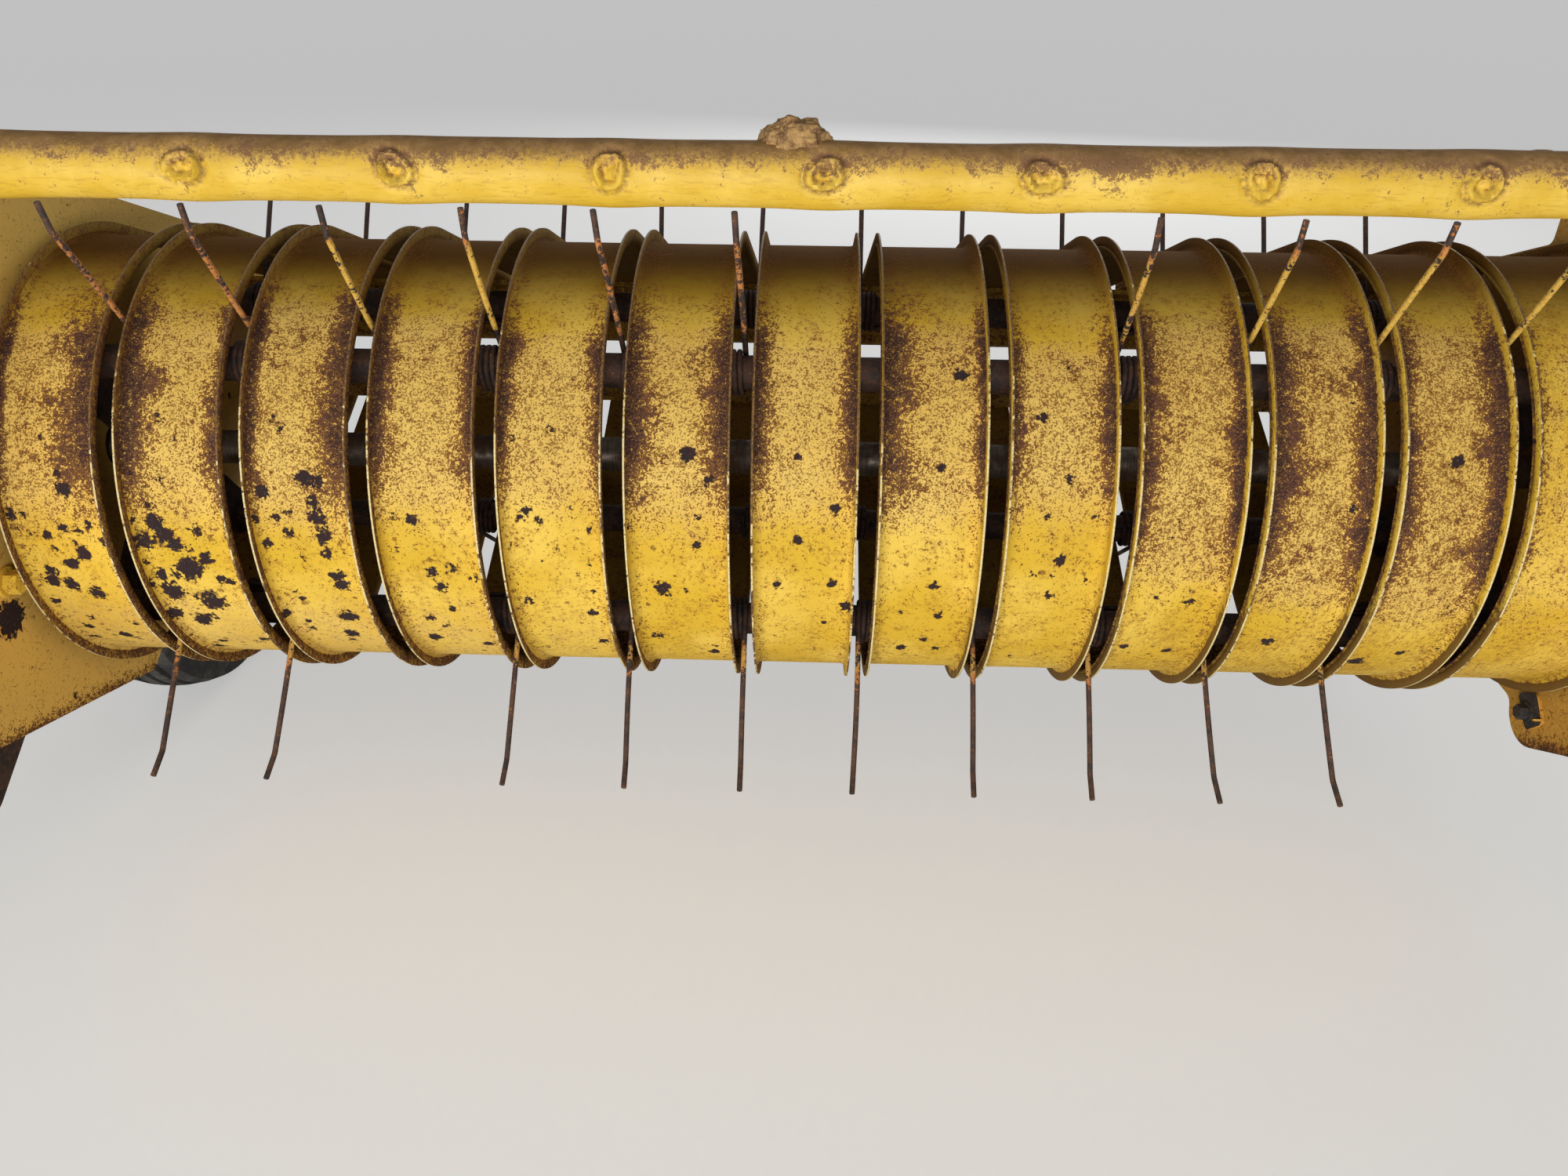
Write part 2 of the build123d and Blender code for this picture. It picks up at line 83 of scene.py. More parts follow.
def ahead(radius, angle):
    """Offset from an axis across the head: a radius, and an angle from straight ahead to straight up."""
    return Vector((0, -radius * cos(radians(angle)), radius * sin(radians(angle))))


print("reel axis", [round(number, 3) for number in REEL])

# %% [markdown]
# ## Camera, floor and light
#
# The photograph looks down at the head from hip height in front of it. The camera's place, tilt and lens
# were worked out from the even spacing of the tines. Its picture is 2000 pixels wide, so a focal length in
# pixels turns into a lens in millimetres through the width of the sensor.
#
# The studio is plain: a pale floor under the tyre, one broad soft lamp in front at mid height, as the open
# sky was, a weak one above, and one behind so that the back isn't lost. White beyond the floor comes from the
# world as the camera sees it, and not from more light on the paint.

# %% Camera
PHOTO_WIDTH = 2000
FOCAL_PIXELS = 1514.6
SENSOR_WIDTH = 36.0
CAMERA_FROM_REEL = Vector((0.0076, -1.0459, 0.4598))
CAMERA_TILT_DOWN = 30.0
CAMERA_TURN_LEFT = 1.5
CAMERA_ROLL = 0.5

lens = bpy.data.cameras.new("photo_camera")
lens.sensor_width = SENSOR_WIDTH
lens.lens = FOCAL_PIXELS / PHOTO_WIDTH * SENSOR_WIDTH
camera = bpy.data.objects.new("photo_camera", lens)
camera.matrix_world = (
    Matrix.Translation(REEL + CAMERA_FROM_REEL)
    @ Matrix.Rotation(radians(CAMERA_TURN_LEFT), 4, "Z")
    @ Matrix.Rotation(radians(90 - CAMERA_TILT_DOWN), 4, "X")
    @ Matrix.Rotation(radians(CAMERA_ROLL), 4, "Z")
)
bpy.context.scene.collection.objects.link(camera)
bpy.context.scene.camera = camera
bpy.context.scene.view_settings.view_transform = "Standard"
print("lens", round(lens.lens, 2), "mm")


# %% Lamps
def softbox(name, place, aim, width, height, watts):
    """Rectangular lamp that faces a point."""
    lamp = bpy.data.lights.new(name, "AREA")
    lamp.shape = "RECTANGLE"
    lamp.size = width
    lamp.size_y = height
    lamp.energy = watts
    thing = bpy.data.objects.new(name, lamp)
    thing.location = place
    thing.rotation_euler = (Vector(aim) - Vector(place)).to_track_quat("-Z", "Y").to_euler()
    bpy.context.scene.collection.objects.link(thing)


softbox("front_softbox", (-0.4, -3.3, 0.12), (0.0, -0.4, -0.05), 3.2, 0.9, 74)
softbox("top_softbox", (0.5, 0.2, 2.8), (0.0, -0.3, 0.0), 2.2, 2.2, 5)
softbox("rear_softbox", (0.8, 3.4, 1.3), (0.0, 0.0, 0.0), 2.4, 1.6, 26)

# %% [markdown]
# ## Sums on sockets
#
# A rust mask is a sum: a broad cloud, plus finer clouds, less a limit. In the node editor that takes a dozen
# boxes. Here one small class wraps a node's output, so the sum can be written as one and each sign adds its
# Math node. Everything else goes through a single method that makes a node, sets it up and plugs it in.


# %% One output socket
class Signal:
    """A number that varies over a surface. Sums on it add Math nodes to its finish."""

    def __init__(self, finish, socket):
        self.finish = finish
        self.socket = socket

    def math(self, operation, *values):
        return self.finish.node("ShaderNodeMath", {"operation": operation}, dict(enumerate(values)))

    def __add__(self, other):
        return self.math("ADD", self, other)

    def __sub__(self, other):
        return self.math("SUBTRACT", self, other)

    def __rsub__(self, other):
        return self.math("SUBTRACT", other, self)

    def __mul__(self, other):
        return self.math("MULTIPLY", self, other)

    __radd__ = __add__
    __rmul__ = __mul__

    def __pow__(self, other):
        return self.math("POWER", self, other)

    def __abs__(self):
        return self.math("ABSOLUTE", self)

    def most(self, other):
        """The larger of two numbers."""
        return self.math("MAXIMUM", self, other)

    def rise(self, low, high):
        """0 below the low value and 1 above the high one, with a smooth slope between them."""
        smooth = {"interpolation_type": "SMOOTHSTEP"}
        limits = {"Value": self, "From Min": low, "From Max": high}
        return self.finish.node("ShaderNodeMapRange", smooth, limits)

    def swing(self, weight):
        """A cloud taken about zero, so that it adds as much as it takes away, times a weight."""
        return (self - 0.5) * weight


# %% A material that is written as sums and mixes
class Finish:
    """A material that is written as sums and mixes."""

    def __init__(self, name):
        self.material = bpy.data.materials.new(name)
        self.material.use_nodes = True
        self.tree = self.material.node_tree
        self.shader = self.tree.nodes["Principled BSDF"]
        self.place = self.node("ShaderNodeTexCoord", output="Object")

    def plug(self, socket, value):
        if isinstance(value, Signal):
            self.tree.links.new(value.socket, socket)
        elif hasattr(socket.default_value, "__len__") and len(value) == 3 and len(socket.default_value) == 4:
            socket.default_value = (*value, 1)
        else:
            socket.default_value = value

    def node(self, kind, settings=None, sockets=None, output=0):
        """Any node: its type, its settings, the values or links of its sockets, and which output to use."""
        made = self.tree.nodes.new(kind)
        for name, value in (settings or {}).items():
            setattr(made, name, value)
        for name, value in (sockets or {}).items():
            self.plug(made.inputs[name], value)
        return Signal(self, made.outputs[output])

    def mix(self, share, first, second, blend="MIX"):
        """First colour where the share is 0, second where it is 1. MULTIPLY tints the first by the second."""
        settings = {"data_type": "RGBA", "blend_type": blend, "clamp_factor": True}
        return self.node("ShaderNodeMix", settings, {0: share, 6: first, 7: second}, output=2)

    def cloud(self, size, detail=3.0, roughness=0.5, place=None):
        """Noise whose lumps are about this large, in metres; it averages one half."""
        sockets = {"Vector": place or self.place, "Scale": 1 / size, "Detail": detail, "Roughness": roughness}
        return self.node("ShaderNodeTexNoise", None, sockets)

    def cells(self, size, output, place=None):
        """Cells of about this size: how far it is to a cell's middle, or the cell's own random colour."""
        sockets = {"Vector": place or self.place, "Scale": 1 / size}
        return self.node("ShaderNodeTexVoronoi", None, sockets, output)

    def stretched(self, x, y, z):
        """Object place, scaled along each axis."""
        return self.node("ShaderNodeMapping", None, {"Vector": self.place, "Scale": (x, y, z)})

    def vector_math(self, operation, first, second):
        """A number from two vectors: their dot product or their distance."""
        return self.node("ShaderNodeVectorMath", {"operation": operation}, {0: first, 1: second}, output=1)

    def painted(self, name):
        """A value that was painted on the piece's own mesh."""
        return self.node("ShaderNodeAttribute", {"attribute_name": name}, output="Fac")

    def surface(self, colour, roughness, height=None, depth=0.0, metallic=0.0):
        """Plugs the finish into its shader; height is bump of that depth in metres."""
        self.plug(self.shader.inputs["Base Color"], colour)
        self.plug(self.shader.inputs["Roughness"], roughness)
        self.plug(self.shader.inputs["Metallic"], metallic)
        if height:
            relief = self.node("ShaderNodeBump", None, {"Height": height, "Distance": depth}, output="Normal")
            self.plug(self.shader.inputs["Normal"], relief)
        return self


def tone(red, green, blue):
    """A colour as the eye reads it, each part from 11 to 255, as the light it stands for."""
    return tuple(((part / 255 + 0.055) / 1.055) ** 2.4 for part in (red, green, blue))


# %% World and floor
SKY_LIGHT = (0.120, 0.122, 0.128, 1)  # what lights the head
SKY_SEEN = (0.86, 0.87, 0.88, 1)  # what the camera and shiny surfaces see
FLOOR_SPREAD = 40.0
FLOOR_GLOW = tone(165, 165, 164)

world = bpy.data.worlds.new("studio")
bpy.context.scene.world = world
world.use_nodes = True
sky = world.node_tree
ray = sky.nodes.new("ShaderNodeLightPath")
seen = sky.nodes.new("ShaderNodeMath")
seen.operation = "MAXIMUM"
sky.links.new(ray.outputs["Is Camera Ray"], seen.inputs[0])
sky.links.new(ray.outputs["Is Glossy Ray"], seen.inputs[1])
backdrop = sky.nodes.new("ShaderNodeMix")
backdrop.data_type = "RGBA"
backdrop.inputs[6].default_value = SKY_LIGHT
backdrop.inputs[7].default_value = SKY_SEEN
sky.links.new(seen.outputs[0], backdrop.inputs[0])
sky.links.new(backdrop.outputs[2], sky.nodes["Background"].inputs["Color"])

floor_mesh = bmesh.new()
bmesh.ops.create_grid(floor_mesh, x_segments=1, y_segments=1, size=FLOOR_SPREAD)
floor_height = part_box("gauge_tyre")[0].z
bmesh.ops.translate(floor_mesh, vec=(0, 0, floor_height), verts=floor_mesh.verts)
floor_data = bpy.data.meshes.new("studio_floor")
floor_mesh.to_mesh(floor_data)
floor_mesh.free()
studio_floor = bpy.data.objects.new("studio_floor", floor_data)
bpy.context.scene.collection.objects.link(studio_floor)
floor_finish = Finish("pale_floor")
floor_finish.surface(tone(228, 228, 226), 0.9)
seen_directly = floor_finish.node("ShaderNodeLightPath", output="Is Camera Ray")
glow = floor_finish.mix(seen_directly, (0.0, 0.0, 0.0), FLOOR_GLOW)
floor_finish.plug(floor_finish.shader.inputs["Emission Color"], glow)
floor_finish.shader.inputs["Emission Strength"].default_value = 1.0
floor_data.materials.append(floor_finish.material)
print("floor at", round(floor_height, 3), "m")

# %% [markdown]
# ## The weathered finishes
#
# The yellow is old farm enamel: bright where rain keeps it clean, faded and pitted where the sun and the hay
# rub it, purple-brown where rust has crept in from an edge, and chipped to dark bare steel by stones.
# It could be one picture wrapped round the band, but a picture repeats and stretches. Masks from noise don't,
# and a few values painted on the mesh say where rust and chips belong. All the colours are named here once.

# %% Colours of the old head
YELLOW = tone(226, 183, 56)
BRIGHT_YELLOW = tone(242, 203, 86)
OCHRE = tone(190, 140, 44)
TOP_SHADE = (0.16, 0.10, 0.03)
FADED = tone(240, 200, 116)
PURPLE_RUST = tone(90, 60, 52)
DEEP_RUST = tone(62, 43, 42)
RUST_GLINT = tone(186, 130, 76)
BROWN_RUST = tone(120, 74, 36)
ORANGE_RUST = tone(178, 116, 44)
HAY_STAIN = tone(176, 124, 52)
LIP_SHADE = tone(92, 62, 38)
BARE_STEEL = tone(52, 44, 44)
STEEL_GLINT = tone(128, 116, 112)
DARK_GRIME = tone(38, 31, 26)

# %% [markdown]
# ### Clean paint and pits
#
# Five sizes of noise serve every layer, from a hand's width down to a grain of sand. The paint itself drifts
# slowly between two yellows with ochre in it. Where hay rubs it every day it is pale, and peppered with brown
# pits as fine as ground pepper. Hay juice stains it brown, in fine scratches that run along the band: noise
# that is squeezed across and drawn out along. Last comes painted shade: brown on the inner faces of the
# flanges low down, and a dark tint on the band's top and wherever a finish asks for it.


# %% The paint
class Enamel(Finish):
    """Old yellow enamel, built up in layers. How worn it is and how much painted shade it takes come as
    numbers, or as values on the mesh.
    """

    def __init__(self, name, rust=0.0, chips=0.0, stones=0.0, pits=0.0,
                 dusk=0.0, fade=0.0, stain=0.0, lip=0.0):
        super().__init__(name)
        self.broad = self.cloud(0.080, 3)
        self.blots = self.cloud(0.034, 3, 0.55)
        self.lumps = self.cloud(0.016, 6, 0.62)
        self.crumbs = self.cloud(0.0040, 5, 0.68)
        self.grain = self.cloud(0.0015, 3, 0.60)
        self.rust, self.chips, self.stones = map(self.amount, (rust, chips, stones))
        self.pits, self.dusk, self.fade = map(self.amount, (pits, dusk, fade))
        self.stain, self.lip = map(self.amount, (stain, lip))
        self.colour = self.mix(self.broad.rise(0.35, 0.65), YELLOW, BRIGHT_YELLOW)

    def amount(self, value):
        """A value painted on the mesh, or the same number everywhere."""
        return self.painted(value) if isinstance(value, str) else self.broad * 0.0 + value

    def laid(self, share, colour):
        """Covers part of what is there with a colour."""
        self.colour = self.mix(share, self.colour, colour)


def weather_paint(enamel):
    """Ochre drifts, fading, stains and pits, then painted shade. Returns how pitted the paint is."""
    drift = (enamel.lumps * 0.4 + enamel.crumbs * 0.35 + enamel.blots * 0.25).rise(0.46, 0.62)
    enamel.laid(drift * 0.40, OCHRE)
    pale = (enamel.pits + enamel.fade + enamel.lumps.swing(0.8)).rise(0.15, 0.75)
    enamel.laid(pale * 0.62, FADED)
    scratches = enamel.cloud(0.0010, 3, 0.6, enamel.stretched(1, 0.08, 0.08))
    stained = enamel.stain + enamel.blots.swing(0.8) + enamel.crumbs.swing(1.1) + scratches.swing(1.5)
    enamel.laid(stained.rise(0.15, 0.90) * 0.60, HAY_STAIN)
    pepper = enamel.crumbs.swing(1.4) + enamel.grain.swing(3.3) + enamel.lumps.swing(0.9)
    pitted = (pepper + enamel.pits * 0.50 + enamel.rust * 0.30 + enamel.stain * 0.10).rise(0.34, 0.64)
    enamel.laid(pitted * 0.74, BROWN_RUST)
    # Painted shade in brown on the inner faces of the flanges low down, most on the right bands
    browned = enamel.lip + enamel.crumbs.swing(0.9) + enamel.lumps.swing(0.9)
    enamel.laid(browned.rise(0.25, 0.60) * 0.85, LIP_SHADE)
    # Painted shade: a dark tint multiplied in where the shade value says, on band tops, band backs and grimed
    # parts
    enamel.colour = enamel.mix(enamel.dusk, enamel.colour, TOP_SHADE, "MULTIPLY")
    return pitted


# %% [markdown]
# ### Creeping rust
#
# Rust never has a clean border. A painted amount decides where it is likely, and the finer noises are added
# before the limit is taken, so that it breaks up into flecks, with an orange stain ahead of it. Inside, it is
# purple-brown with paler grains that catch the light.


# %% The rust
def creeping_rust(enamel):
    """Ragged rust that grows where the mesh says. Returns where the paint is gone."""
    patches = (enamel.blots * 0.5 + enamel.lumps * 0.5).rise(0.52, 0.64) * enamel.pits * 0.50
    fine = enamel.lumps.swing(0.55) + enamel.crumbs.swing(1.9) + enamel.grain.swing(2.5)
    creep = enamel.rust + patches + enamel.pits * 0.08 + fine
    enamel.laid(creep.rise(0.28, 0.58) * 0.55, ORANGE_RUST)
    gone = creep.rise(0.44, 0.80)
    shade = enamel.mix(creep.rise(0.62, 1.00), BROWN_RUST, PURPLE_RUST)
    shade = enamel.mix((enamel.lumps * 0.4 + enamel.rust * 0.6).rise(0.58, 0.78), shade, DEEP_RUST)
    shade = enamel.mix(enamel.grain.rise(0.52, 0.66) * 0.55, shade, RUST_GLINT)
    enamel.laid(gone * 0.97, shade)
    return gone


# %% [markdown]
# ### Stone chips
#
# A stone takes the paint off at once, down to steel that has since gone nearly black. The large chips are
# painted on the mesh, and cells scatter the small ones: each cell's own random number decides whether it has
# a chip and how large. Cells a few millimetres wide also make the borders blocky, as paint flakes are.


# %% The chips
CHIP_CELL = 0.019
SPOT_CELL = 0.0085
FLAKE_CELL = 0.0024


def stone_chips(enamel):
    """Crisp dark chips and rust spots. Returns where the paint is gone."""
    blocks = enamel.cells(FLAKE_CELL, "Color").swing(0.26)
    ragged = enamel.chips + enamel.crumbs.swing(0.62) + enamel.lumps.swing(0.85) + blocks
    luck = enamel.cells(CHIP_CELL, "Color")
    near = enamel.cells(CHIP_CELL, "Distance")
    pocks = (luck + enamel.stones * 0.42 - 0.86) * 0.80 - near + enamel.crumbs.swing(0.70) + blocks
    chipped = ragged.rise(0.555, 0.585).most(pocks.rise(0.0, 0.04))
    luck = enamel.cells(SPOT_CELL, "Color")
    near = enamel.cells(SPOT_CELL, "Distance")
    spots = (luck + enamel.stones * 0.24 - 0.80) * 1.1 - near + enamel.grain.swing(0.8)
    fringe = ragged.rise(0.46, 0.56).most(pocks.rise(-0.05, 0.02))
    enamel.laid(fringe.most(spots.rise(-0.02, 0.08)) * 0.70, BROWN_RUST)
    bare = enamel.mix(enamel.crumbs.rise(0.44, 0.60), BARE_STEEL, DEEP_RUST)
    bare = enamel.mix(enamel.grain.rise(0.60, 0.72) * 0.60, bare, STEEL_GLINT)
    enamel.laid(chipped, bare)
    return chipped


# %% [markdown]
# ### The whole enamel
#
# The layers go on in the order in which they came in real life, and the bump follows them: bare places lie
# deeper by the thickness of the paint, and a few runs of paint stand up in thin winding lines. The finish
# reflects little at low angles, because dust has taken its shine.


# %% The whole finish
PAINT_DEPTH = 0.00035
DUSTY_SHINE = 0.10
RUN_SHARPNESS = 34
RUN_HEIGHT = 2.0


def plug_enamel(enamel, gone, pitted, worn, relief=0.0):
    """Plugs finished enamel into its shader: rough where it is worn, with its relief."""
    enamel.shader.inputs["Specular IOR Level"].default_value = DUSTY_SHINE
    height = (1 - gone) + pitted * -0.3 + enamel.grain * 0.3 + relief
    return enamel.surface(enamel.colour, worn * 0.40 + 0.50, height, PAINT_DEPTH)


def old_enamel(name, **wear):
    """The whole finish, from the paint up."""
    enamel = Enamel(name, **wear)
    pitted = weather_paint(enamel)
    gone = creeping_rust(enamel).most(stone_chips(enamel))
    worn = gone.most(pitted * 0.7).most(enamel.dusk)
    runs = (1 - abs((enamel.blots - 0.5) * RUN_SHARPNESS)).most(0) * enamel.stain
    return plug_enamel(enamel, gone, pitted, worn, enamel.broad * 0.4 + runs * RUN_HEIGHT)


band_enamel = old_enamel("band_enamel", rust="rust", chips="chips", stones="stones", pits="pits",
                         dusk="dusk", fade="fade", stain="stain", lip="lip")
band_back = old_enamel("band_back", rust="back_rust", pits=0.3, dusk="back_painted_shade", fade=0.1)
frame_enamel = old_enamel("frame_enamel", rust=0.12, stones=0.2)
# Grime, plus painted shade: a fixed share of the dark shade tint over the whole finish
grimed_and_shaded_enamel = old_enamel("grimed_and_shaded_enamel", rust=0.42, pits=0.4, dusk=0.45)


# %% [markdown]
# ### The end sheets
#
# The sheets are painted like the bands, and dirtier towards their lower edge, where the paint breaks off in
# flakes. Round the bolt inside the left one a patch as large as a coin went bare. A sheet is a plain node of
# the frame and takes no painted values. So the finish works out two distances from the surface's own place:
# to the line of the lower edge, with a dot product, and to the patch.

# %% End sheet enamel
LEFT_KEEL = ((-0.048, -0.229), (-0.330, -0.139))
RIGHT_KEEL = ((-0.094, -0.247), (-0.330, -0.112))
BOLT_INSIDE = Vector((0, -0.203, -0.0375))
BARE_PATCH = Vector((0, -0.2125, -0.0675))
BARE_PATCH_RADIUS = 0.0165
ONE_SIDE = 5.0  # how much more the sheet's thickness counts, so that the patch stays on its inner side
EDGE_REACH = 0.030
TINT_SHARE = 0.74


def sheet_enamel(name, keel, sheet_tint, rust, stones, stain, patch=None):
    """Enamel of an end sheet. The keel is its lower edge: two points, to the rear of the reel and up."""
    enamel = Enamel(name, rust=rust, stones=stones, fade=1.0, stain=stain)
    lowest, nose = (Vector((0, *point)) for point in keel)
    down = -(nose - lowest).cross(ACROSS).normalized()
    reach = enamel.vector_math("DOT_PRODUCT", enamel.place, down)
    edge = (REEL + lowest).dot(down)
    near_edge = reach.rise(edge - EDGE_REACH, edge)
    enamel.rust = enamel.rust + near_edge ** 3 * 0.55 + near_edge * 0.12
    if patch:
        inner_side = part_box("left_end_sheet")[1].x * ONE_SIDE
        middle = Vector((inner_side, REEL.y + patch.y, REEL.z + patch.z))
        off = enamel.vector_math("DISTANCE", enamel.stretched(ONE_SIDE, 1, 1), middle)
        enamel.chips = enamel.chips + (1 - off.rise(0.0, BARE_PATCH_RADIUS * 2)) * 1.02
    pitted = weather_paint(enamel)
    enamel.laid(TINT_SHARE, sheet_tint)
    gone = creeping_rust(enamel).most(stone_chips(enamel))
    return plug_enamel(enamel, gone, pitted, gone)


# The left sheet's pale tint is partly faded paint and partly painted light: it brightens a sheet that the
# front lamp only grazes
left_sheet_enamel = sheet_enamel("left_sheet_enamel", LEFT_KEEL, tone(255, 210, 108),
                                 rust=0.03, stones=0.35, stain=0.0, patch=BARE_PATCH)
right_sheet_enamel = sheet_enamel("right_sheet_enamel", RIGHT_KEEL, tone(214, 158, 64),
                                  rust=0.16, stones=0.35, stain=0.40)


# %% [markdown]
# ### Rust, steel, iron and rubber
#
# Inside the head nothing was ever wiped. The backs of the bands are brown with a little paint left in them,
# and are darker higher up by painted shade; the tines are spring steel that rusts to dark brown with orange
# dust, and the reel's plates are grimed.


# %% Old iron
def old_iron(name, dark, middle, light, paint_left=0.0, roughness=0.85):
    """Rusty iron in three tones, with a share of old yellow paint left on it."""
    finish = Finish(name)
    lumps = finish.cloud(0.020, 5, 0.6)
    crumbs = finish.cloud(0.0040, 4, 0.6)
    grain = finish.cloud(0.0012, 2, 0.6)
    colour = finish.mix(lumps.rise(0.35, 0.65), dark, middle)
    colour = finish.mix(crumbs.rise(0.50, 0.72) * 0.7, colour, light)
    left = (lumps * 0.6 + crumbs * 0.4 + paint_left).rise(0.62, 0.68)
    colour = finish.mix(left * 0.9, colour, OCHRE)
    height = grain * 0.5 + crumbs + left
    shine = finish.node("ShaderNodeMix", {"data_type": "FLOAT"}, {0: left, 2: roughness, 3: 0.5})
    return finish.surface(colour, shine, height, 0.0004)


plate_rust = old_iron("plate_rust", DARK_GRIME, tone(70, 50, 40), tone(104, 66, 42))
cast_grime = old_iron("cast_grime", tone(40, 38, 36), tone(62, 56, 50), tone(96, 78, 60), 0.02)


# %% Sheared edge
def raw_edge():
    """The sheared edge of a band: rusty, with bright dashes that are partly rubbed steel and partly painted
    highlight, brighter low down and on some edges than on others.
    """
    finish = Finish("band_raw_edge")
    rubbed_and_highlit = finish.painted("rubbed_and_highlit")
    stretches = finish.cloud(0.055, 3, 0.6)
    dashes = (finish.cloud(0.0065, 4, 0.7) + stretches.swing(0.9) + rubbed_and_highlit * 0.22).rise(0.55, 0.59)
    crumbs = finish.cloud(0.0016, 2)
    dull = finish.mix(crumbs.rise(0.35, 0.65), tone(70, 48, 34), tone(150, 112, 52))
    # Near-white dashes: partly rubbed steel, partly painted highlight
    bright = finish.mix(crumbs.rise(0.3, 0.7), tone(246, 232, 180), tone(226, 196, 120))
    return finish.surface(finish.mix(dashes, dull, bright), 0.6, crumbs, 0.0003)


band_raw_edge = raw_edge()


# %% Spring steel
def tine_rust():
    """Spring wire: brown rust, orange dust and the paint that is still on it."""
    finish = Finish("tine_rust")
    left = finish.painted("old_paint")
    lumps = finish.cloud(0.0120, 4, 0.6)
    crumbs = finish.cloud(0.0030, 3, 0.6)
    colour = finish.mix(lumps.rise(0.35, 0.62), tone(50, 41, 38), tone(88, 62, 48))
    colour = finish.mix(crumbs.rise(0.52, 0.72) * 0.5, colour, tone(140, 88, 50))
    kept = (left + lumps.swing(1.7) + crumbs.swing(1.3)).rise(0.50, 0.58)
    buff = finish.mix(crumbs.rise(0.35, 0.7), tone(216, 148, 78), tone(176, 108, 56))
    yellow = finish.mix(crumbs.rise(0.40, 0.75), tone(230, 188, 84), tone(190, 140, 54))
    colour = finish.mix(kept, colour, finish.mix(left.rise(0.58, 0.72), buff, yellow))
    return finish.surface(colour, 0.72, crumbs + kept, 0.0003)


tine_finish = tine_rust()


# %% Turned steel
def turned_steel():
    """Shaft and sprocket: bright once, now browned, with turning marks round it."""
    finish = Finish("turned_steel")
    lumps = finish.cloud(0.030, 4, 0.6)
    rings = finish.cloud(0.0016, 2, 0.5, finish.stretched(1, 0.05, 0.05))
    colour = finish.mix(lumps.rise(0.40, 0.62), tone(140, 128, 114), tone(98, 70, 50))
    colour = finish.mix(rings.rise(0.4, 0.7) * 0.4, colour, tone(120, 104, 90), "MULTIPLY")
    rough = lumps.rise(0.4, 0.62) * 0.4 + 0.38
    return finish.surface(colour, rough, rings, 0.0001, 1 - lumps.rise(0.40, 0.62))


shaft_finish = turned_steel()


# %% Rubber
def dusty_rubber():
    """Old tyre: grey-black, dusty and finely cracked."""
    finish = Finish("dusty_rubber")
    dust = finish.cloud(0.030, 4, 0.6)
    cracks = finish.cells(0.0040, "Distance")
    colour = finish.mix(dust.rise(0.40, 0.75) * 0.6, tone(44, 43, 42), tone(112, 106, 98))
    return finish.surface(colour, 0.86, cracks * 0.4 + dust, 0.0004)


# %% [markdown]
# ## Turning a shape into a piece
#
# Every new shape goes the same way: its mesh becomes an object at the origin, it gets its finishes, it rides
# on a body of the frame, and it may stand for a plain node of the frame. Faces that meet at a low angle are
# shaded smooth.


# %% From mesh to piece
def piece(name, mesh, finishes, body, slot, *nodes, crease=35.0, recalculate=True):
    """Makes a finished piece of a bmesh, rides it on a body and hides the nodes that it stands for."""
    if recalculate:
        bmesh.ops.recalc_face_normals(mesh, faces=mesh.faces)
    data = bpy.data.meshes.new(name)
    mesh.to_mesh(data)
    mesh.free()
    data.shade_smooth()
    data.set_sharp_from_angle(angle=radians(crease))
    for finish in finishes:
        data.materials.append(finish.material)
    thing = bpy.data.objects.new(name, data)
    bpy.context.scene.collection.objects.link(thing)
    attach(thing, body)
    if nodes:
        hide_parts(*nodes)
    return thing


# %% [markdown]
# ## Drawing out and spinning
#
# Bands, tube, wires and straws all grow the same way: a loop of edges is drawn out along a straight line or
# spun about an axis, as a mill rolls sheet or bends wire. Each step gives back the loop at its far end.


# %% The steps that grow a shape
def only(geom, kind):
    """The vertices, edges or faces in a mixed list."""
    return [item for item in geom if isinstance(item, kind)]


def ring_of_edges(mesh, sides, radius, place, capped=False):
    """A ring to draw out: place's origin is its middle and Z its axis."""
    made = bmesh.ops.create_circle(mesh, segments=sides, radius=radius, cap_ends=capped, matrix=place)
    return list({edge for vert in made["verts"] for edge in vert.link_edges})


def drawn_out(mesh, edges, vec, steps=1):
    """Extrudes a loop of edges along a vector and returns its far loop."""
    for step in range(steps):
        made = bmesh.ops.extrude_edge_only(mesh, edges=edges)["geom"]
        bmesh.ops.translate(mesh, vec=Vector(vec) / steps, verts=only(made, bmesh.types.BMVert))
        edges = only(made, bmesh.types.BMEdge)
    return edges


def spun(mesh, edges, centre, axis, angle, steps, shift=(0, 0, 0)):
    """Spins a loop of edges about an axis and returns its far loop."""
    geom = edges + list({vert for edge in edges for vert in edge.verts})
    made = bmesh.ops.spin(mesh, geom=geom, cent=centre, axis=axis, dvec=shift, angle=radians(angle),
                          steps=steps, use_merge=False)
    return only(made["geom_last"], bmesh.types.BMEdge)


def closed_off(mesh, edges):
    """Caps a loop with a face."""
    bmesh.ops.contextual_create(mesh, geom=edges)


# %% [markdown]
# ## The stripper bands
#
# Each band is one long strip of sheet with a flange folded up along both edges, rolled round the front of the
# reel. It could be a curve with a bevel object, but then its thickness and its raw edges would be guesswork.
# We draw the open section once, round its two folds, carry it along the upper leg, spin it about the reel
# and carry it along the lower leg. Solidify then gives it the thickness of the sheet, with one material for
# the painted front, one for the rusty back and one for the raw edge.
#
# The sheet's raw edge shows as a line of little more than 1.5 mm. The folds have an inner radius of 5 mm,
# and the flange beside each is the clean ochre stripe that the photograph shows next to the rust.

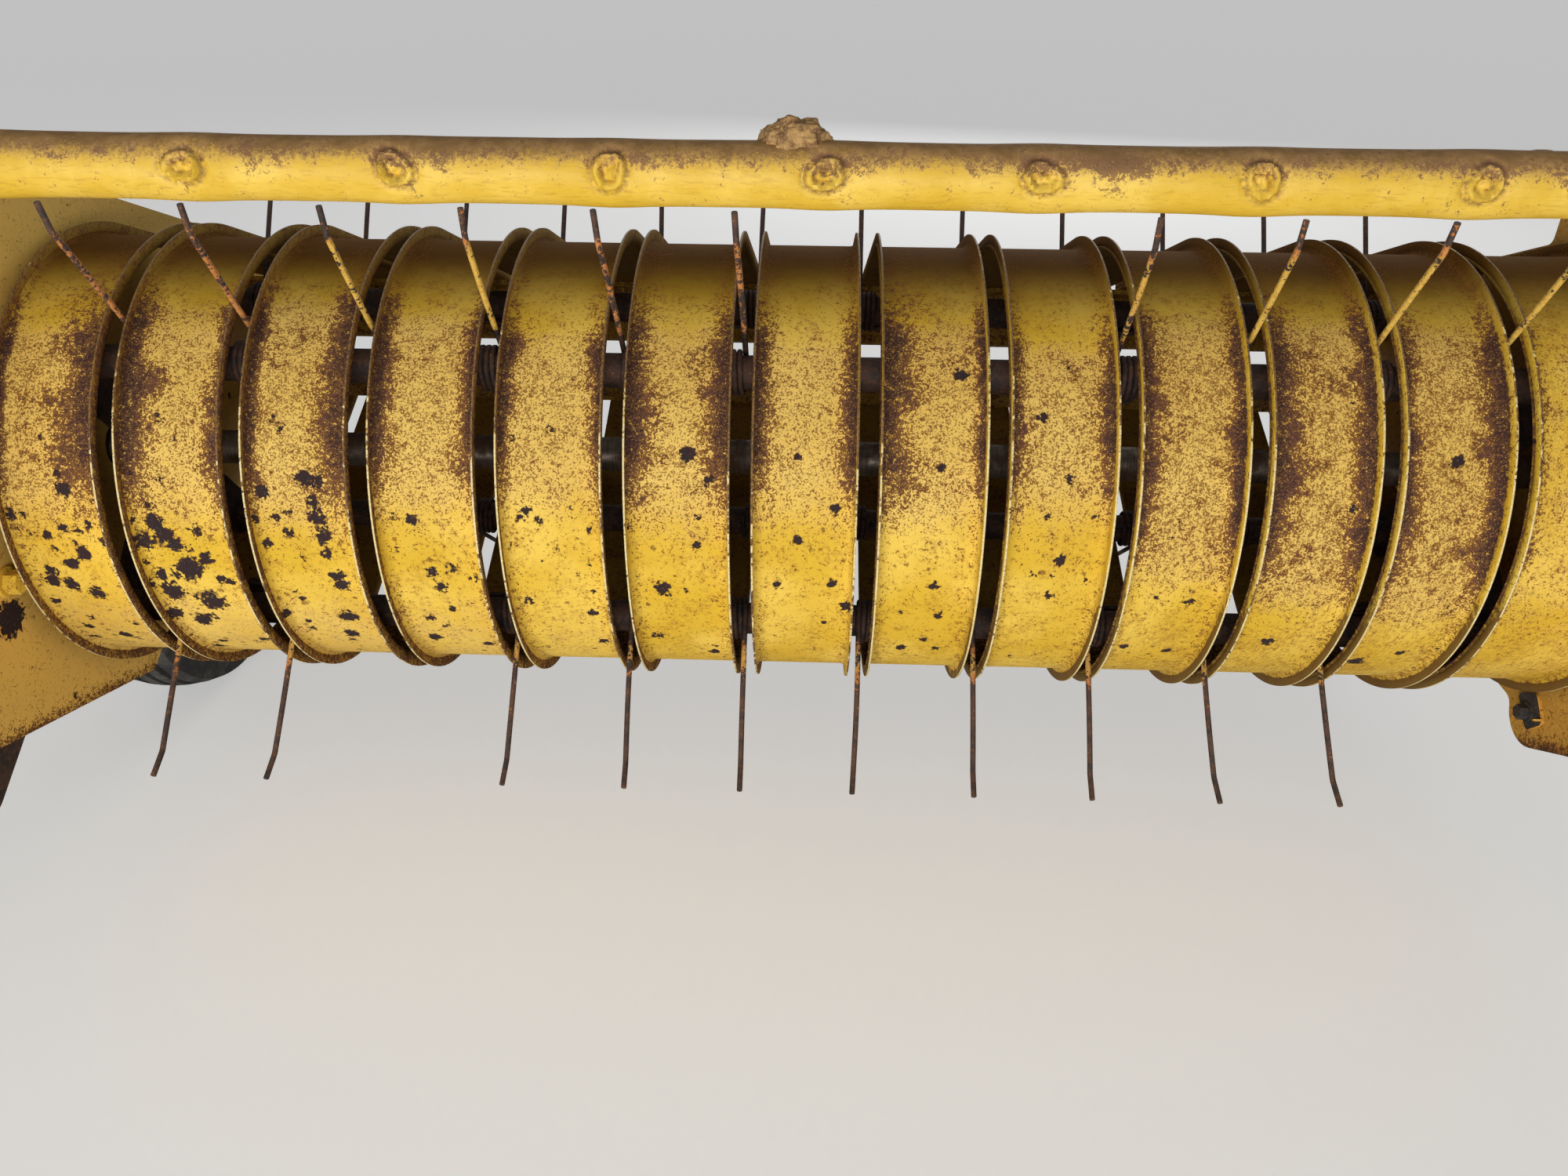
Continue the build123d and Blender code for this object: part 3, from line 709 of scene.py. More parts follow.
# %% Measures of a band
SHEET_THICK = 0.0016
FLANGE_RISE = 0.012
FOLD_RADIUS = 0.005
LEG_TILT = 22.0
LEG_LENGTH = 0.330
LEG_STEPS = 11
ARC_STEPS = 132
WEB_CUTS = 16
BAND_COUNT = 13
TINE_PITCH = 0.1016

CREST_RADIUS = REEL.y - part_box("stripper_01")[0].y
WEB_RADIUS = CREST_RADIUS - FLANGE_RISE
print("crest radius", round(CREST_RADIUS, 4), "web radius", round(WEB_RADIUS, 4))


# %% Section of a band
def band_section(low, high):
    """Open section of a band on its painted side, with both folds rounded."""
    mesh = bmesh.new()
    corners = [(low, CREST_RADIUS), (low, WEB_RADIUS), (high, WEB_RADIUS), (high, CREST_RADIUS)]
    verts = [mesh.verts.new(REEL + Vector((x - REEL.x, 0, radius))) for x, radius in corners]
    for pair in zip(verts, verts[1:]):
        mesh.edges.new(pair)
    bmesh.ops.bevel(mesh, geom=verts[1:3], offset=FOLD_RADIUS, segments=4, profile=0.5,
                    affect="VERTICES", material=-1)
    web = max(mesh.edges, key=bmesh.types.BMEdge.calc_length)
    bmesh.ops.subdivide_edges(mesh, edges=[web], cuts=WEB_CUTS)
    return mesh


# %% [markdown]
# ### Where the bands are worn
#
# The wear isn't even. Rust creeps in from both edges at the height where hay is pressed against the band, it
# is heaviest on the left bands, and stone chips sit low down. One row for each band says how wide its rusty
# margins are and how far down they reach. A second table places the large chips that stand out.

# %% Tables of wear
# Each band: width of its left and right rust margin in mm, angles where the rust starts and ends,
# how pitted it is between the margins, how many small chips it has, and how stained it is
MARGIN_RUST = [
    (6, 34, 12, 52, 0.80, 1.0, 0.15),
    (20, 14, 12, 56, 0.75, 1.0, 0.05),
    (9, 25, 12, 60, 0.85, 1.0, 0.05),
    (14, 12, 16, 56, 0.85, 0.70, 0.05),
    (13, 14, 18, 50, 0.80, 0.60, 0.05),
    (18, 16, 14, 54, 0.80, 0.60, 0.05),
    (15, 12, 16, 52, 0.72, 0.55, 0.00),
    (25, 8, 14, 56, 0.75, 0.50, 0.05),
    (13, 12, 18, 50, 0.80, 0.50, 0.10),
    (17, 10, 2, 58, 0.85, 0.45, 0.25),
    (22, 14, -4, 58, 0.90, 0.40, 0.28),
    (18, 16, -8, 56, 0.90, 0.40, 0.30),
    (10, 10, -14, 56, 0.35, 0.25, 0.30),
]

# Large chips of each band: mm across from its middle line, angle, radius in mm
CHIPS = {
    1: ((-13, 1, 5), (2, 3, 5), (13, -4, 7), (-1, -7, 6), (-25, -13, 7), (-11, -14, 8), (8, -17, 8),
        (-25, -32, 6), (24, 4, 5), (-30, 6, 4), (-34, -20, 5), (20, -30, 5)),
    2: ((-23, 5, 8), (-17, 2, 8), (-34, 0, 9), (-9, -1, 6), (14, -4, 7), (-2, -8, 12), (-27, -15, 10),
        (3, -19, 13), (-36, -24, 8), (-16, -27, 10), (-19, -41, 6), (26, -12, 5)),
    3: ((9, 11, 6), (13, 7, 8), (14, 2, 7), (14, -3, 6), (17, -9, 8), (-34, 0, 5), (15, -24, 9),
        (8, -33, 7), (-39, -23, 6), (-18, -17, 4), (5, 17, 8), (-12, 8, 4)),
    4: ((-3, -7, 7), (15, -6, 5), (2, -12, 6), (6, -20, 5), (-16, -24, 5), (-20, -34, 7), (-14, 7, 6),
        (24, -38, 5)),
    5: ((-20, 10, 5), (26, -20, 5), (28, -34, 5), (-10, -3, 3)),
    6: ((-15, -11, 8), (8, 24, 6), (26, 18, 5), (-24, -30, 6), (24, -40, 6), (16, 2, 4)),
    7: ((-4, 4, 5), (-20, -9, 5), (24, -8, 5), (26, 12, 5), (18, -22, 3), (-4, 24, 4)),
    8: ((6, -8, 6), (14, -18, 5), (8, 22, 5), (22, 44, 6), (-14, -34, 6), (16, -34, 5)),
    9: ((6, 0, 5), (8, 20, 5), (30, -6, 4), (-16, 34, 5)),
    10: ((-24, -30, 5), (14, -32, 5)),
    11: ((-6, -26, 6),),
    12: ((-20, -36, 7), (10, -30, 6), (4, 26, 6)),
    13: (),
}


def slope(value, low, high):
    """0 below the low value and 1 above the high one."""
    share = min(max((value - low) / (high - low), 0), 1)
    return share * share * (3 - 2 * share)


# %% [markdown]
# ### Painting the wear on a band
#
# A few numbers go on every vertex: rust, chips, pits, hay stains, the painted shade of the top, the painted
# shade that browns the lips of the flanges, how rubbed and how brightly highlighted their edges are, and the
# rust and painted shade of the back of the sheet. They change slowly, and the finish adds the ragged detail.


# %% Wear at one place
def margin(width, inset, wander):
    """Rust of one margin: 1 at the edge and 0 past its width, which wanders along the band."""
    return 1 - slope(inset, width * 0.25 * wander, width * 1.8 * wander) if width else 0


def wear_at(band, across, angle, rise, low, high):
    """The wear at a place: mm across from the middle line, degrees from straight ahead, mm up the flange."""
    left_width, right_width, start, end, pitted, stones, stain = MARGIN_RUST[band - 1]
    from_left = across - low
    from_right = high - across
    wander = [1 + 0.6 * noise.noise(Vector((angle / 9, band * 3.7, side))) for side in (0, 5)]
    window = slope(angle, start - 16, start + 12) * (1 - slope(angle, end - 4, end + 16) * 0.60)
    edge_rust = max(margin(left_width, from_left, wander[0]), margin(right_width, from_right, wander[1]))
    low_edge = (1 - slope(min(from_left, from_right), 6, 16)) * (1 - slope(angle, -20, 10)) * 0.28
    web = 1 - slope(rise, 2.5, 5.5) * 0.85
    low_down = 1 - slope(angle, -40, -15)
    side_of_head = across * (band - 7)  # above 0 on the edge that is nearer to an end of the head
    # painted highlight on the raw edges: most on the outer edges of the right bands, least on the inner edges
    # of the left ones
    edge_light = (0.35 if band > 7 else -0.05) if side_of_head > 0 else -0.1 if band > 7 else -0.6
    chip = 0
    for place, chip_angle, radius in CHIPS[band]:
        if abs(angle - chip_angle) < 8:
            off = hypot(across - place, (angle - chip_angle) * radians(WEB_RADIUS * 1000))
            chip = max(chip, 1 - 0.5 * off / radius)
    return {
        "rust": max(edge_rust * window * 0.92, low_edge) * web,
        "chips": chip,
        "stones": stones * (1 - slope(angle, 16, 50)) * slope(angle, -80, -50) * web,
        "pits": pitted * slope(angle, start - 22, start + 8) * (1 - slope(angle, end - 8, end + 12)) * web,
        # painted shade that darkens the top of the band, from 48 degrees up
        "dusk": slope(angle, 48, 84),
        "stain": stain * (1 + 0.6 * low_down) * (1 - slope(angle, 50, 72)) * web,
        # painted shade that browns the inner faces of the flanges low down, most on the right bands
        "lip": slope(rise, 2.5, 6.0) * (1 - slope(angle, -30, 10)) * (0.25 + 0.75 * slope(band, 6.5, 9)),
        "fade": 0.55 * (1 - slope(angle, -30, 0)) * (1 - slope(band, 3, 7)),
        # bright raw edge, partly rubbed steel and partly painted highlight, more of it low down
        "rubbed_and_highlit": 1 - slope(angle, 5, 55) * 1.6 + edge_light,
        "back_rust": 0.74 - 0.40 * slope(angle, 48, 74),
        # painted shade on the back of the sheet, darker higher up
        "back_painted_shade": 0.25 + 0.45 * slope(angle, -40, 60),
    }


# %% Wear on a whole band
def paint_wear(mesh, number, low, high):
    """Writes the wear of a band on its vertices; low and high are its edges in mm from its middle line."""
    middle = (number - (BAND_COUNT + 1) / 2) * TINE_PITCH
    names = wear_at(number, 0, 0, 0, low, high)
    layers = {name: mesh.verts.layers.float.new(name) for name in names}
    for vert in mesh.verts:
        side = Vector((0, vert.co.y - REEL.y, vert.co.z - REEL.z))
        angle = degrees(atan2(side.z, -side.y)) if side.y < 0 else 90 + degrees(atan2(side.y, side.z))
        rise = (side.length - WEB_RADIUS) * 1000 if abs(angle) < 90 + LEG_TILT else 0
        across = (vert.co.x - middle) * 1000
        for name, amount in wear_at(number, across, angle, rise, low, high).items():
            vert[layers[name]] = amount


# %% One band
def stripper_band(number):
    """One band, from its box in the frame."""
    node = f"stripper_{number:02d}"
    box_low, box_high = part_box(node)
    low, high = box_low.x + SHEET_THICK, box_high.x - SHEET_THICK
    mesh = band_section(low, high)
    # The section stands straight up: tilt it back to where the upper leg meets the arc, then to the leg's end
    bmesh.ops.rotate(mesh, cent=REEL, matrix=Matrix.Rotation(radians(-LEG_TILT), 3, "X"), verts=mesh.verts)
    to_rear = Vector((0, cos(radians(LEG_TILT)), -sin(radians(LEG_TILT)))) * LEG_LENGTH
    bmesh.ops.translate(mesh, vec=to_rear, verts=mesh.verts)
    edges = drawn_out(mesh, mesh.edges[:], -to_rear, LEG_STEPS)
    edges = spun(mesh, edges, REEL, ACROSS, 180 + 2 * LEG_TILT, ARC_STEPS)
    drawn_out(mesh, edges, (0, to_rear.y, -to_rear.z), LEG_STEPS)
    middle = (number - (BAND_COUNT + 1) / 2) * TINE_PITCH
    paint_wear(mesh, number, (low - middle) * 1000, (high - middle) * 1000)
    mesh.normal_update()
    from_axis = Matrix.Diagonal((0, 1, 1))
    outward = sum(face.normal.dot(from_axis @ (face.calc_center_median() - REEL)) for face in mesh.faces)
    if outward < 0:
        bmesh.ops.reverse_faces(mesh, faces=mesh.faces)
    band = piece(f"band_{number:02d}", mesh, (band_enamel, band_back, band_raw_edge), "head_frame",
                 "worn_yellow_paint", node, recalculate=False)
    wall = band.modifiers.new("sheet", "SOLIDIFY")
    wall.thickness = SHEET_THICK
    wall.offset = -1
    wall.material_offset = 1
    wall.material_offset_rim = 2
    return band


bands = [stripper_band(number) for number in range(1, BAND_COUNT + 1)]
print("band faces before thickness:", len(bands[0].data.polygons))


# %% [markdown]
# ## The windguard tube
#
# The tube is a plain pipe that someone dented: at even places a guard rod was welded through it, the wall
# sank there and the plug of weld stands in the dent as a swirl. We extrude a ring along the tube with short
# steps, and then push its vertices in and out by sums of soft bumps. A boolean or a sculpt brush would need
# more faces for the same swirl.

# %% Measures of the tube
TUBE_RADIUS = 0.0211
TUBE_SIDES = 56
TUBE_STEP = 0.0060
WELD_STEP = 0.0012
WELD_REACH = 0.016
DENT_PITCH = 0.1412
DENT_START = 0.011
DENT_NUMBERS = range(-4, 5)
DENT_ANGLE = 12.0
DENT_DEPTH = 0.0030
DENT_WIDTH = 0.026
DENT_REACH = 0.09
WELD_RADIUS = 0.0096
GROOVE_REACH = 0.03

tube_low, tube_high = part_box("guard_tube")
tube_axis = (tube_low + tube_high) / 2
dents = [DENT_START + number * DENT_PITCH for number in DENT_NUMBERS]
print("tube axis", [round(number, 4) for number in tube_axis], "dents", len(dents))


def tube_stations():
    """Places along the tube: short steps over the welds and long ones between them."""
    stations = [tube_low.x]
    while stations[-1] < tube_high.x:
        near = min(abs(stations[-1] - dent) for dent in dents)
        step = WELD_STEP if near < WELD_REACH else min(TUBE_STEP, WELD_STEP + (near - WELD_REACH) * 0.5)
        stations.append(min(stations[-1] + step, tube_high.x))
    return stations


# %% Dents and welds
def weld_ring(turn, index):
    """Radius of a weld's ring at an angle round it: each weld is a little out of round in its own way."""
    return WELD_RADIUS * (1 + 0.13 * sin(2 * turn + index * 1.7) + 0.06 * sin(3 * turn + index * 4.1))


def bump(off, width):
    """A soft bump: 1 in its middle, and almost 0 at twice its width."""
    return exp(-(off / width) ** 2)


def groove_at(x, angle):
    """How deep in the groove round a weld a place is, from 0 to 1."""
    depth = 0
    for index, dent in enumerate(dents):
        along = x - dent
        arc = radians((angle - DENT_ANGLE + 180) % 360 - 180) * TUBE_RADIUS
        reach = hypot(along, arc)
        if reach < GROOVE_REACH:
            past = reach - weld_ring(atan2(arc, along), index)
            depth = max(depth, bump(past - 0.0040, 0.0026), 0.8 * bump(past + 0.0036, 0.0018))
    return depth


def dent_shift(x, angle):
    """How far the tube's wall stands out at a place along it and an angle from straight ahead."""
    shift = 0.0006 * noise.noise(Vector((x * 9, angle / 60, 0)))
    for index, dent in enumerate(dents):
        along = x - dent
        if abs(along) > DENT_REACH:
            continue
        around = (angle - DENT_ANGLE + 180) % 360 - 180
        arc = radians(around) * TUBE_RADIUS
        wide = bump(along, DENT_WIDTH)
        shift -= DENT_DEPTH * wide * bump(around, 42)
        shift += 0.0014 * wide * bump(around + 85, 38)
        shift += 0.0007 * wide * bump(around - 95, 38)
        # The plug of weld: a ring, a swirl in it and a pit beside its middle
        reach = hypot(along, arc)
        turn = atan2(arc, along)
        ring = weld_ring(turn, index)
        shift += 0.0030 * bump(reach - ring, 0.0024) * (1 + 0.5 * sin(turn + index * 2.1))
        shift -= 0.0014 * bump(reach - ring - 0.0048, 0.0022)
        shift -= 0.0016 * bump(reach - ring + 0.0042, 0.0016)
        shift += 0.0016 * sin(turn - reach / 0.0016 + index * 1.3) * bump(reach, 0.0065)
        shift += 0.0026 * noise.noise(Vector((along * 300, arc * 300, index))) * bump(reach, 0.014)
    return shift


# %% The tube
def windguard_tube():
    """The dented tube, closed at both ends."""
    mesh = bmesh.new()
    stations = tube_stations()
    turn = Matrix.Translation((stations[0], tube_axis.y, tube_axis.z)) @ Matrix.Rotation(radians(90), 4, "Y")
    edges = ring_of_edges(mesh, TUBE_SIDES, TUBE_RADIUS, turn)
    for start, end in zip(stations, stations[1:]):
        edges = drawn_out(mesh, edges, (end - start, 0, 0))
    grime = mesh.verts.layers.float.new("grime")
    groove = mesh.verts.layers.float.new("groove")
    for vert in mesh.verts:
        side = vert.co - tube_axis
        angle = degrees(atan2(side.z, -side.y))
        out = Vector((0, side.y, side.z)).normalized()
        shift = dent_shift(vert.co.x, angle)
        vert.co += out * shift
        vert[grime] = slope(out.z, -0.15, 1.0)
        vert[groove] = groove_at(vert.co.x, angle)
    bmesh.ops.holes_fill(mesh, edges=[e for e in mesh.edges if e.is_boundary], sides=TUBE_SIDES)
    return mesh


# %% [markdown]
# ### The tube's finish
#
# Dust and rust lie on the tube like snow, thick on top and broken into flecks where the side turns down.
# A value painted on the mesh says how far up the wall we are. Noise breaks its lower border.


# %% Grimed enamel
def tube_enamel():
    """Yellow below, then flecks of rust, then a brown film of dust and rust on top; the grooves round the
    welds are darker brown, partly grime and partly painted shade.
    """
    finish = Finish("tube_enamel")
    up = finish.painted("grime")
    groove = finish.painted("groove")
    broad = finish.cloud(0.060, 4, 0.6)
    lumps = finish.cloud(0.012, 6, 0.66)
    crumbs = finish.cloud(0.0030, 4, 0.65)
    grain = finish.cloud(0.0011, 2, 0.6)
    streaks = finish.cloud(0.0022, 3, 0.6, finish.stretched(0.18, 1, 1))
    colour = finish.mix(broad.rise(0.35, 0.65), YELLOW, BRIGHT_YELLOW)
    colour = finish.mix(streaks.rise(0.50, 0.72) * 0.40, colour, OCHRE)
    specks = (lumps.swing(1.0) + crumbs.swing(1.6) + grain.swing(1.2)).rise(0.34, 0.50)
    colour = finish.mix(specks * 0.60, colour, BROWN_RUST)
    fine = crumbs.swing(1.1) + grain.swing(0.9)
    border = up + broad.swing(0.9) + lumps.swing(0.7) + fine * 0.6
    colour = finish.mix(border.rise(0.05, 0.60) * 0.55, colour, tone(210, 164, 92))
    settled = border.rise(0.34, 0.92)
    film = finish.mix(lumps.rise(0.38, 0.62), tone(120, 86, 56), tone(176, 136, 88))
    film = finish.mix(crumbs.rise(0.42, 0.66) * 0.45, film, tone(100, 72, 54))
    colour = finish.mix(settled * 0.86, colour, film)
    ridge = border.rise(0.24, 0.50) * (1 - border.rise(0.85, 1.25) * 0.8)
    patchy = lumps.swing(2.2) + broad.swing(1.8) + fine * 1.1 + ridge * 0.40 + groove * 0.30
    flecks = patchy.rise(0.32, 0.74)
    fleck_tone = finish.mix(crumbs.rise(0.4, 0.6), tone(92, 62, 52), tone(134, 94, 66))
    colour = finish.mix(flecks * 0.74, colour, fleck_tone)
    # Darker brown in the grooves round the welds: partly grime, partly painted shade in the recess
    weld_grime_and_shade = groove.rise(0.12, 0.85) * (lumps * 0.6 + crumbs * 0.4).rise(0.38, 0.54)
    colour = finish.mix(weld_grime_and_shade * 0.55, colour, tone(122, 84, 54))
    finish.shader.inputs["Specular IOR Level"].default_value = 0.3
    rough = settled.most(flecks) * 0.38 + 0.46
    return finish.surface(colour, rough, crumbs * 0.6 + grain * 0.4 + settled * 0.4, 0.00035)


piece("windguard_tube", windguard_tube(), (tube_enamel(),), "windguard", "yellow_frame_paint",
      "guard_tube", crease=50)


# %% [markdown]
# ## Tines, coils and their bars
#
# A double tine is one length of spring wire: a prong, three turns round the bar, a straight run to the next
# gap, three turns and another prong. A spin with a little shift at each step winds the coil, which is how a
# lathe would. From the coil the same ring of vertices is drawn out into the prong, spun through its bend and
# drawn out again to the tip.

# %% Measures of the reel
BAR_CIRCLE = 0.162
BAR_RADIUS = 0.0143
WIRE_RADIUS = 0.0024
COIL_RADIUS = BAR_RADIUS + 0.0003 + WIRE_RADIUS
COIL_TURNS = 3
COIL_WIDTH = 0.014
COIL_STEP_ANGLE = 15.0
PRONG_LENGTH = 0.136
PRONG_TIP = 0.024
PRONG_BEND = 20.0
PRONG_BEND_RADIUS = 0.014
WIRE_SIDES = 10
PRONG_STRAY = 0.004
PIPE_WALL = 0.003
PIPE_HOLE = 0.020
GAP_COUNT = BAND_COUNT - 1
gaps = [(number - (GAP_COUNT + 1) / 2) * TINE_PITCH for number in range(1, GAP_COUNT + 1)]
LOW_BAR = "tine_bar_2"  # its prongs still have paint where the bands shelter them

# Reel bars: node, angle of the bar, direction of its tines, gaps whose tines are gone, gaps with a lost
# prong, and the paint left on the prongs of each gap
FRONT_PAINT = (0.46, 0.54, 0.78, 0.74, 0.54, 0.50, 0, 0, 0.68, 0.74, 0.78, 0.76)
REEL_BARS = [
    ("tine_bar_1", 49.0, 55.5, (7, 8), (), FRONT_PAINT),
    ("tine_bar_2", -41.0, -44.6, (), (3, 12), (0.12,) * GAP_COUNT),
    ("tine_bar_3", 139.0, 122.7, (), (), (0.14,) * GAP_COUNT),
    ("tine_bar_4", 229.0, 216.5, (), (), (0.10,) * GAP_COUNT),
]


# %% Bolt head
# Shares of a bolt's width across its flats
HALF_CORNERS = 0.577
HEAD_HEIGHT = 0.62
WASHER_HEIGHT = 0.16
HEAD_ROUNDING = 0.07
THREAD_RADIUS = 0.28


def stub(mesh, place, start, length, sides, radius, end_radius):
    """A short bar that stands out from a seat. Returns its vertices."""
    middle = place @ Matrix.Translation((0, 0, start + length / 2))
    return bmesh.ops.create_cone(mesh, cap_ends=True, segments=sides, radius1=radius, radius2=end_radius,
                                 depth=length, matrix=middle)["verts"]


def hex_bolt(mesh, place, across, washer=0.0, proud=0.0):
    """Hexagon bolt head: place's origin is its seat and Z the way out. The washer is given by its radius."""
    foot = across * WASHER_HEIGHT if washer else 0.0
    if washer:
        stub(mesh, place, 0.0, foot, 20, washer, washer * 0.97)
    tall = across * HEAD_HEIGHT
    head = stub(mesh, place, foot, tall, 6, across * HALF_CORNERS, across * HALF_CORNERS)
    upper = {vert for vert in head if (place.inverted() @ vert.co).z > foot + tall * 0.9}
    rim = {edge for vert in upper for edge in vert.link_edges if edge.other_vert(vert) in upper}
    bmesh.ops.bevel(mesh, geom=list(rim), offset=across * HEAD_ROUNDING, segments=2, profile=0.5,
                    affect="EDGES", material=-1)
    if proud:
        stub(mesh, place, foot + tall, proud, 14, across * THREAD_RADIUS, across * (THREAD_RADIUS - 0.03))


# %% Coil and prong
def half_tine(direction, with_prong):
    """A coil and its prong about an axis across the head; its other half lies to the right."""
    mesh = bmesh.new()
    root = ahead(COIL_RADIUS, direction + 90)
    heading = ahead(1, direction)
    place = Matrix.Translation(root) @ heading.to_track_quat("Z", "X").to_matrix().to_4x4()
    start = ring_of_edges(mesh, WIRE_SIDES, WIRE_RADIUS, place)
    turn = COIL_TURNS * 360 + 90
    steps = round(turn / COIL_STEP_ANGLE)
    shift = (2 * WIRE_RADIUS * 1.04 * COIL_STEP_ANGLE / 360, 0, 0)
    closed_off(mesh, spun(mesh, start, (0, 0, 0), UP_THE_FRONT, turn, steps, shift))
    if with_prong:
        tangent = PRONG_BEND_RADIUS * tan(radians(PRONG_BEND / 2))
        straight = heading * (PRONG_LENGTH - tangent)
        loop = drawn_out(mesh, start, straight, 8)
        bend_centre = root + straight + ahead(PRONG_BEND_RADIUS, direction + 90)
        loop = spun(mesh, loop, bend_centre, UP_THE_FRONT, PRONG_BEND, 3)
        closed_off(mesh, drawn_out(mesh, loop, ahead(PRONG_TIP - tangent, direction + PRONG_BEND), 2))
    else:
        closed_off(mesh, drawn_out(mesh, start, heading * WIRE_RADIUS * 2))
    bmesh.ops.recalc_face_normals(mesh, faces=mesh.faces)
    return mesh


# %% Copies
def set_down(target, part, place):
    """Copies a small mesh into a large one and returns the new vertices."""
    data = bpy.data.meshes.new("set_down")
    part.to_mesh(data)
    data.transform(place)
    if place.determinant() < 0:
        data.flip_normals()
    count = len(target.verts)
    target.from_mesh(data)
    bpy.data.meshes.remove(data)
    target.verts.ensure_lookup_table()
    return target.verts[count:]


# %% Bar and joining wire
def bar_pipe(low, high, centre):
    """The bar that carries the coils: a pipe, open for a short way at each end."""
    mesh = bmesh.new()
    place = Matrix.Translation(((low + high) / 2, centre.y, centre.z)) @ Matrix.Rotation(radians(90), 4, "Y")
    bmesh.ops.create_cone(mesh, cap_ends=True, segments=28, radius1=BAR_RADIUS, radius2=BAR_RADIUS,
                          depth=high - low, matrix=place)
    for face in [face for face in mesh.faces if len(face.verts) > 4]:
        bmesh.ops.inset_region(mesh, faces=[face], thickness=PIPE_WALL)
        made = bmesh.ops.extrude_face_region(mesh, geom=[face])["geom"]
        bmesh.ops.translate(mesh, vec=face.normal * -PIPE_HOLE, verts=only(made, bmesh.types.BMVert))
        bmesh.ops.delete(mesh, geom=[face], context="FACES_ONLY")
    return mesh


def joining_wire(direction):
    """The straight wire behind the bar, from one coil to the next, with the clip that holds it."""
    mesh = bmesh.new()
    level = Matrix.Rotation(radians(90), 4, "Y")
    start = Matrix.Translation(Vector((COIL_WIDTH, 0, 0)) + ahead(COIL_RADIUS, direction + 180)) @ level
    edges = ring_of_edges(mesh, WIRE_SIDES, WIRE_RADIUS, start, True)
    closed_off(mesh, drawn_out(mesh, edges, (TINE_PITCH - 2 * COIL_WIDTH, 0, 0), 2))
    outward = ahead(1, direction + 180)
    seat = Vector((TINE_PITCH / 2, 0, 0)) + outward * (COIL_RADIUS + WIRE_RADIUS)
    facing = Matrix.Translation(seat) @ outward.to_track_quat("Z", "X").to_matrix().to_4x4()
    hex_bolt(mesh, facing, 0.010, washer=0.012)
    return mesh


# %% A whole bar
def tine_bar(name, bar_angle, direction, gone, lost, paint):
    """A reel bar with its coils, prongs, joining wires and clips."""
    centre = REEL + ahead(BAR_CIRCLE, bar_angle)
    heading = ahead(1, direction)
    low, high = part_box(name)
    mesh = bar_pipe(low.x, high.x, centre)
    left = mesh.verts.layers.float.new("old_paint")
    whole = half_tine(direction, True)
    broken = half_tine(direction, False)
    joined = joining_wire(direction)
    for number, x in enumerate(gaps, start=1):
        if number in gone:
            continue
        place = Matrix.Translation((x, centre.y, centre.z))
        if number % 2:
            set_down(mesh, joined, place)
        else:
            place = place @ Matrix.Scale(-1, 4, ACROSS)
        bend = random.uniform(-1, 1) * PRONG_STRAY
        for vert in set_down(mesh, broken if number in lost else whole, place):
            reach = hypot(vert.co.y - REEL.y, vert.co.z - REEL.z)
            vert.co.x += bend * (max(reach - BAR_CIRCLE - COIL_RADIUS, 0) / PRONG_LENGTH) ** 2
            on_prong = slope((vert.co - centre).dot(heading), 0.016, 0.026)
            if name == LOW_BAR:
                kept = 0.66 - slope(reach, 0.212, 0.236) * 0.56
            else:
                kept = paint[number - 1] - slope(reach, 0.288, 0.306) * 0.4
            vert[left] = kept * on_prong
    return mesh


for name, bar_angle, direction, gone, lost, paint in REEL_BARS:
    bar_mesh = tine_bar(name, bar_angle, direction, gone, lost, paint)
    print(name, "faces", len(bar_mesh.faces))
    piece(f"{name}_wires", bar_mesh, (tine_finish,), "reel", "rusty_spring_steel", name, crease=50)

# %% [markdown]
# ## Bolts
#
# Two bolts hold each leg of a band to the angle behind it, and more of them carry the bearings, the shoe, the
# wheel arm and the wheel. A bolt is modelled once for each size, and copies are set down by a matrix, which
# is the surface they stand on: its place and the way out of it.

# %% Measures of the bolts
ANGLE_WALL = 0.005
FRAME_SHEET = 0.0025
BOLT_ALONG = 0.305
BOLT_SPREAD = 0.022
BAND_BOLT = 0.012
PLATE_BOLT = 0.019
INSIDE_BOLT = 0.01805
LOW_BOLT = 0.010
PIVOT_BOLT = 0.030
WHEEL_BOLT = 0.017
WHEEL_BOLT_CIRCLE = 0.047
WHEEL_BOLTS = 5


def seat(point, outward):
    """Where a bolt stands: the origin on the surface and Z the way out of it."""
    return Matrix.Translation(point) @ Vector(outward).to_track_quat("Z", "X").to_matrix().to_4x4()


def on_leg(side, radius, along, x):
    """Point on a band's leg and the way out of it; side is 1 for the upper leg and -1 for the lower."""
    tilt = radians(LEG_TILT)
    out = Vector((0, sin(tilt), side * cos(tilt)))
    back = Vector((0, cos(tilt), -side * sin(tilt)))
    return Vector((x, REEL.y, REEL.z)) + out * radius + back * along, out


def one_bolt(across, washer=0.0, proud=0.0):
    """A bolt head that stands on the origin."""
    mesh = bmesh.new()
    hex_bolt(mesh, Matrix(), across, washer, proud)
    return mesh


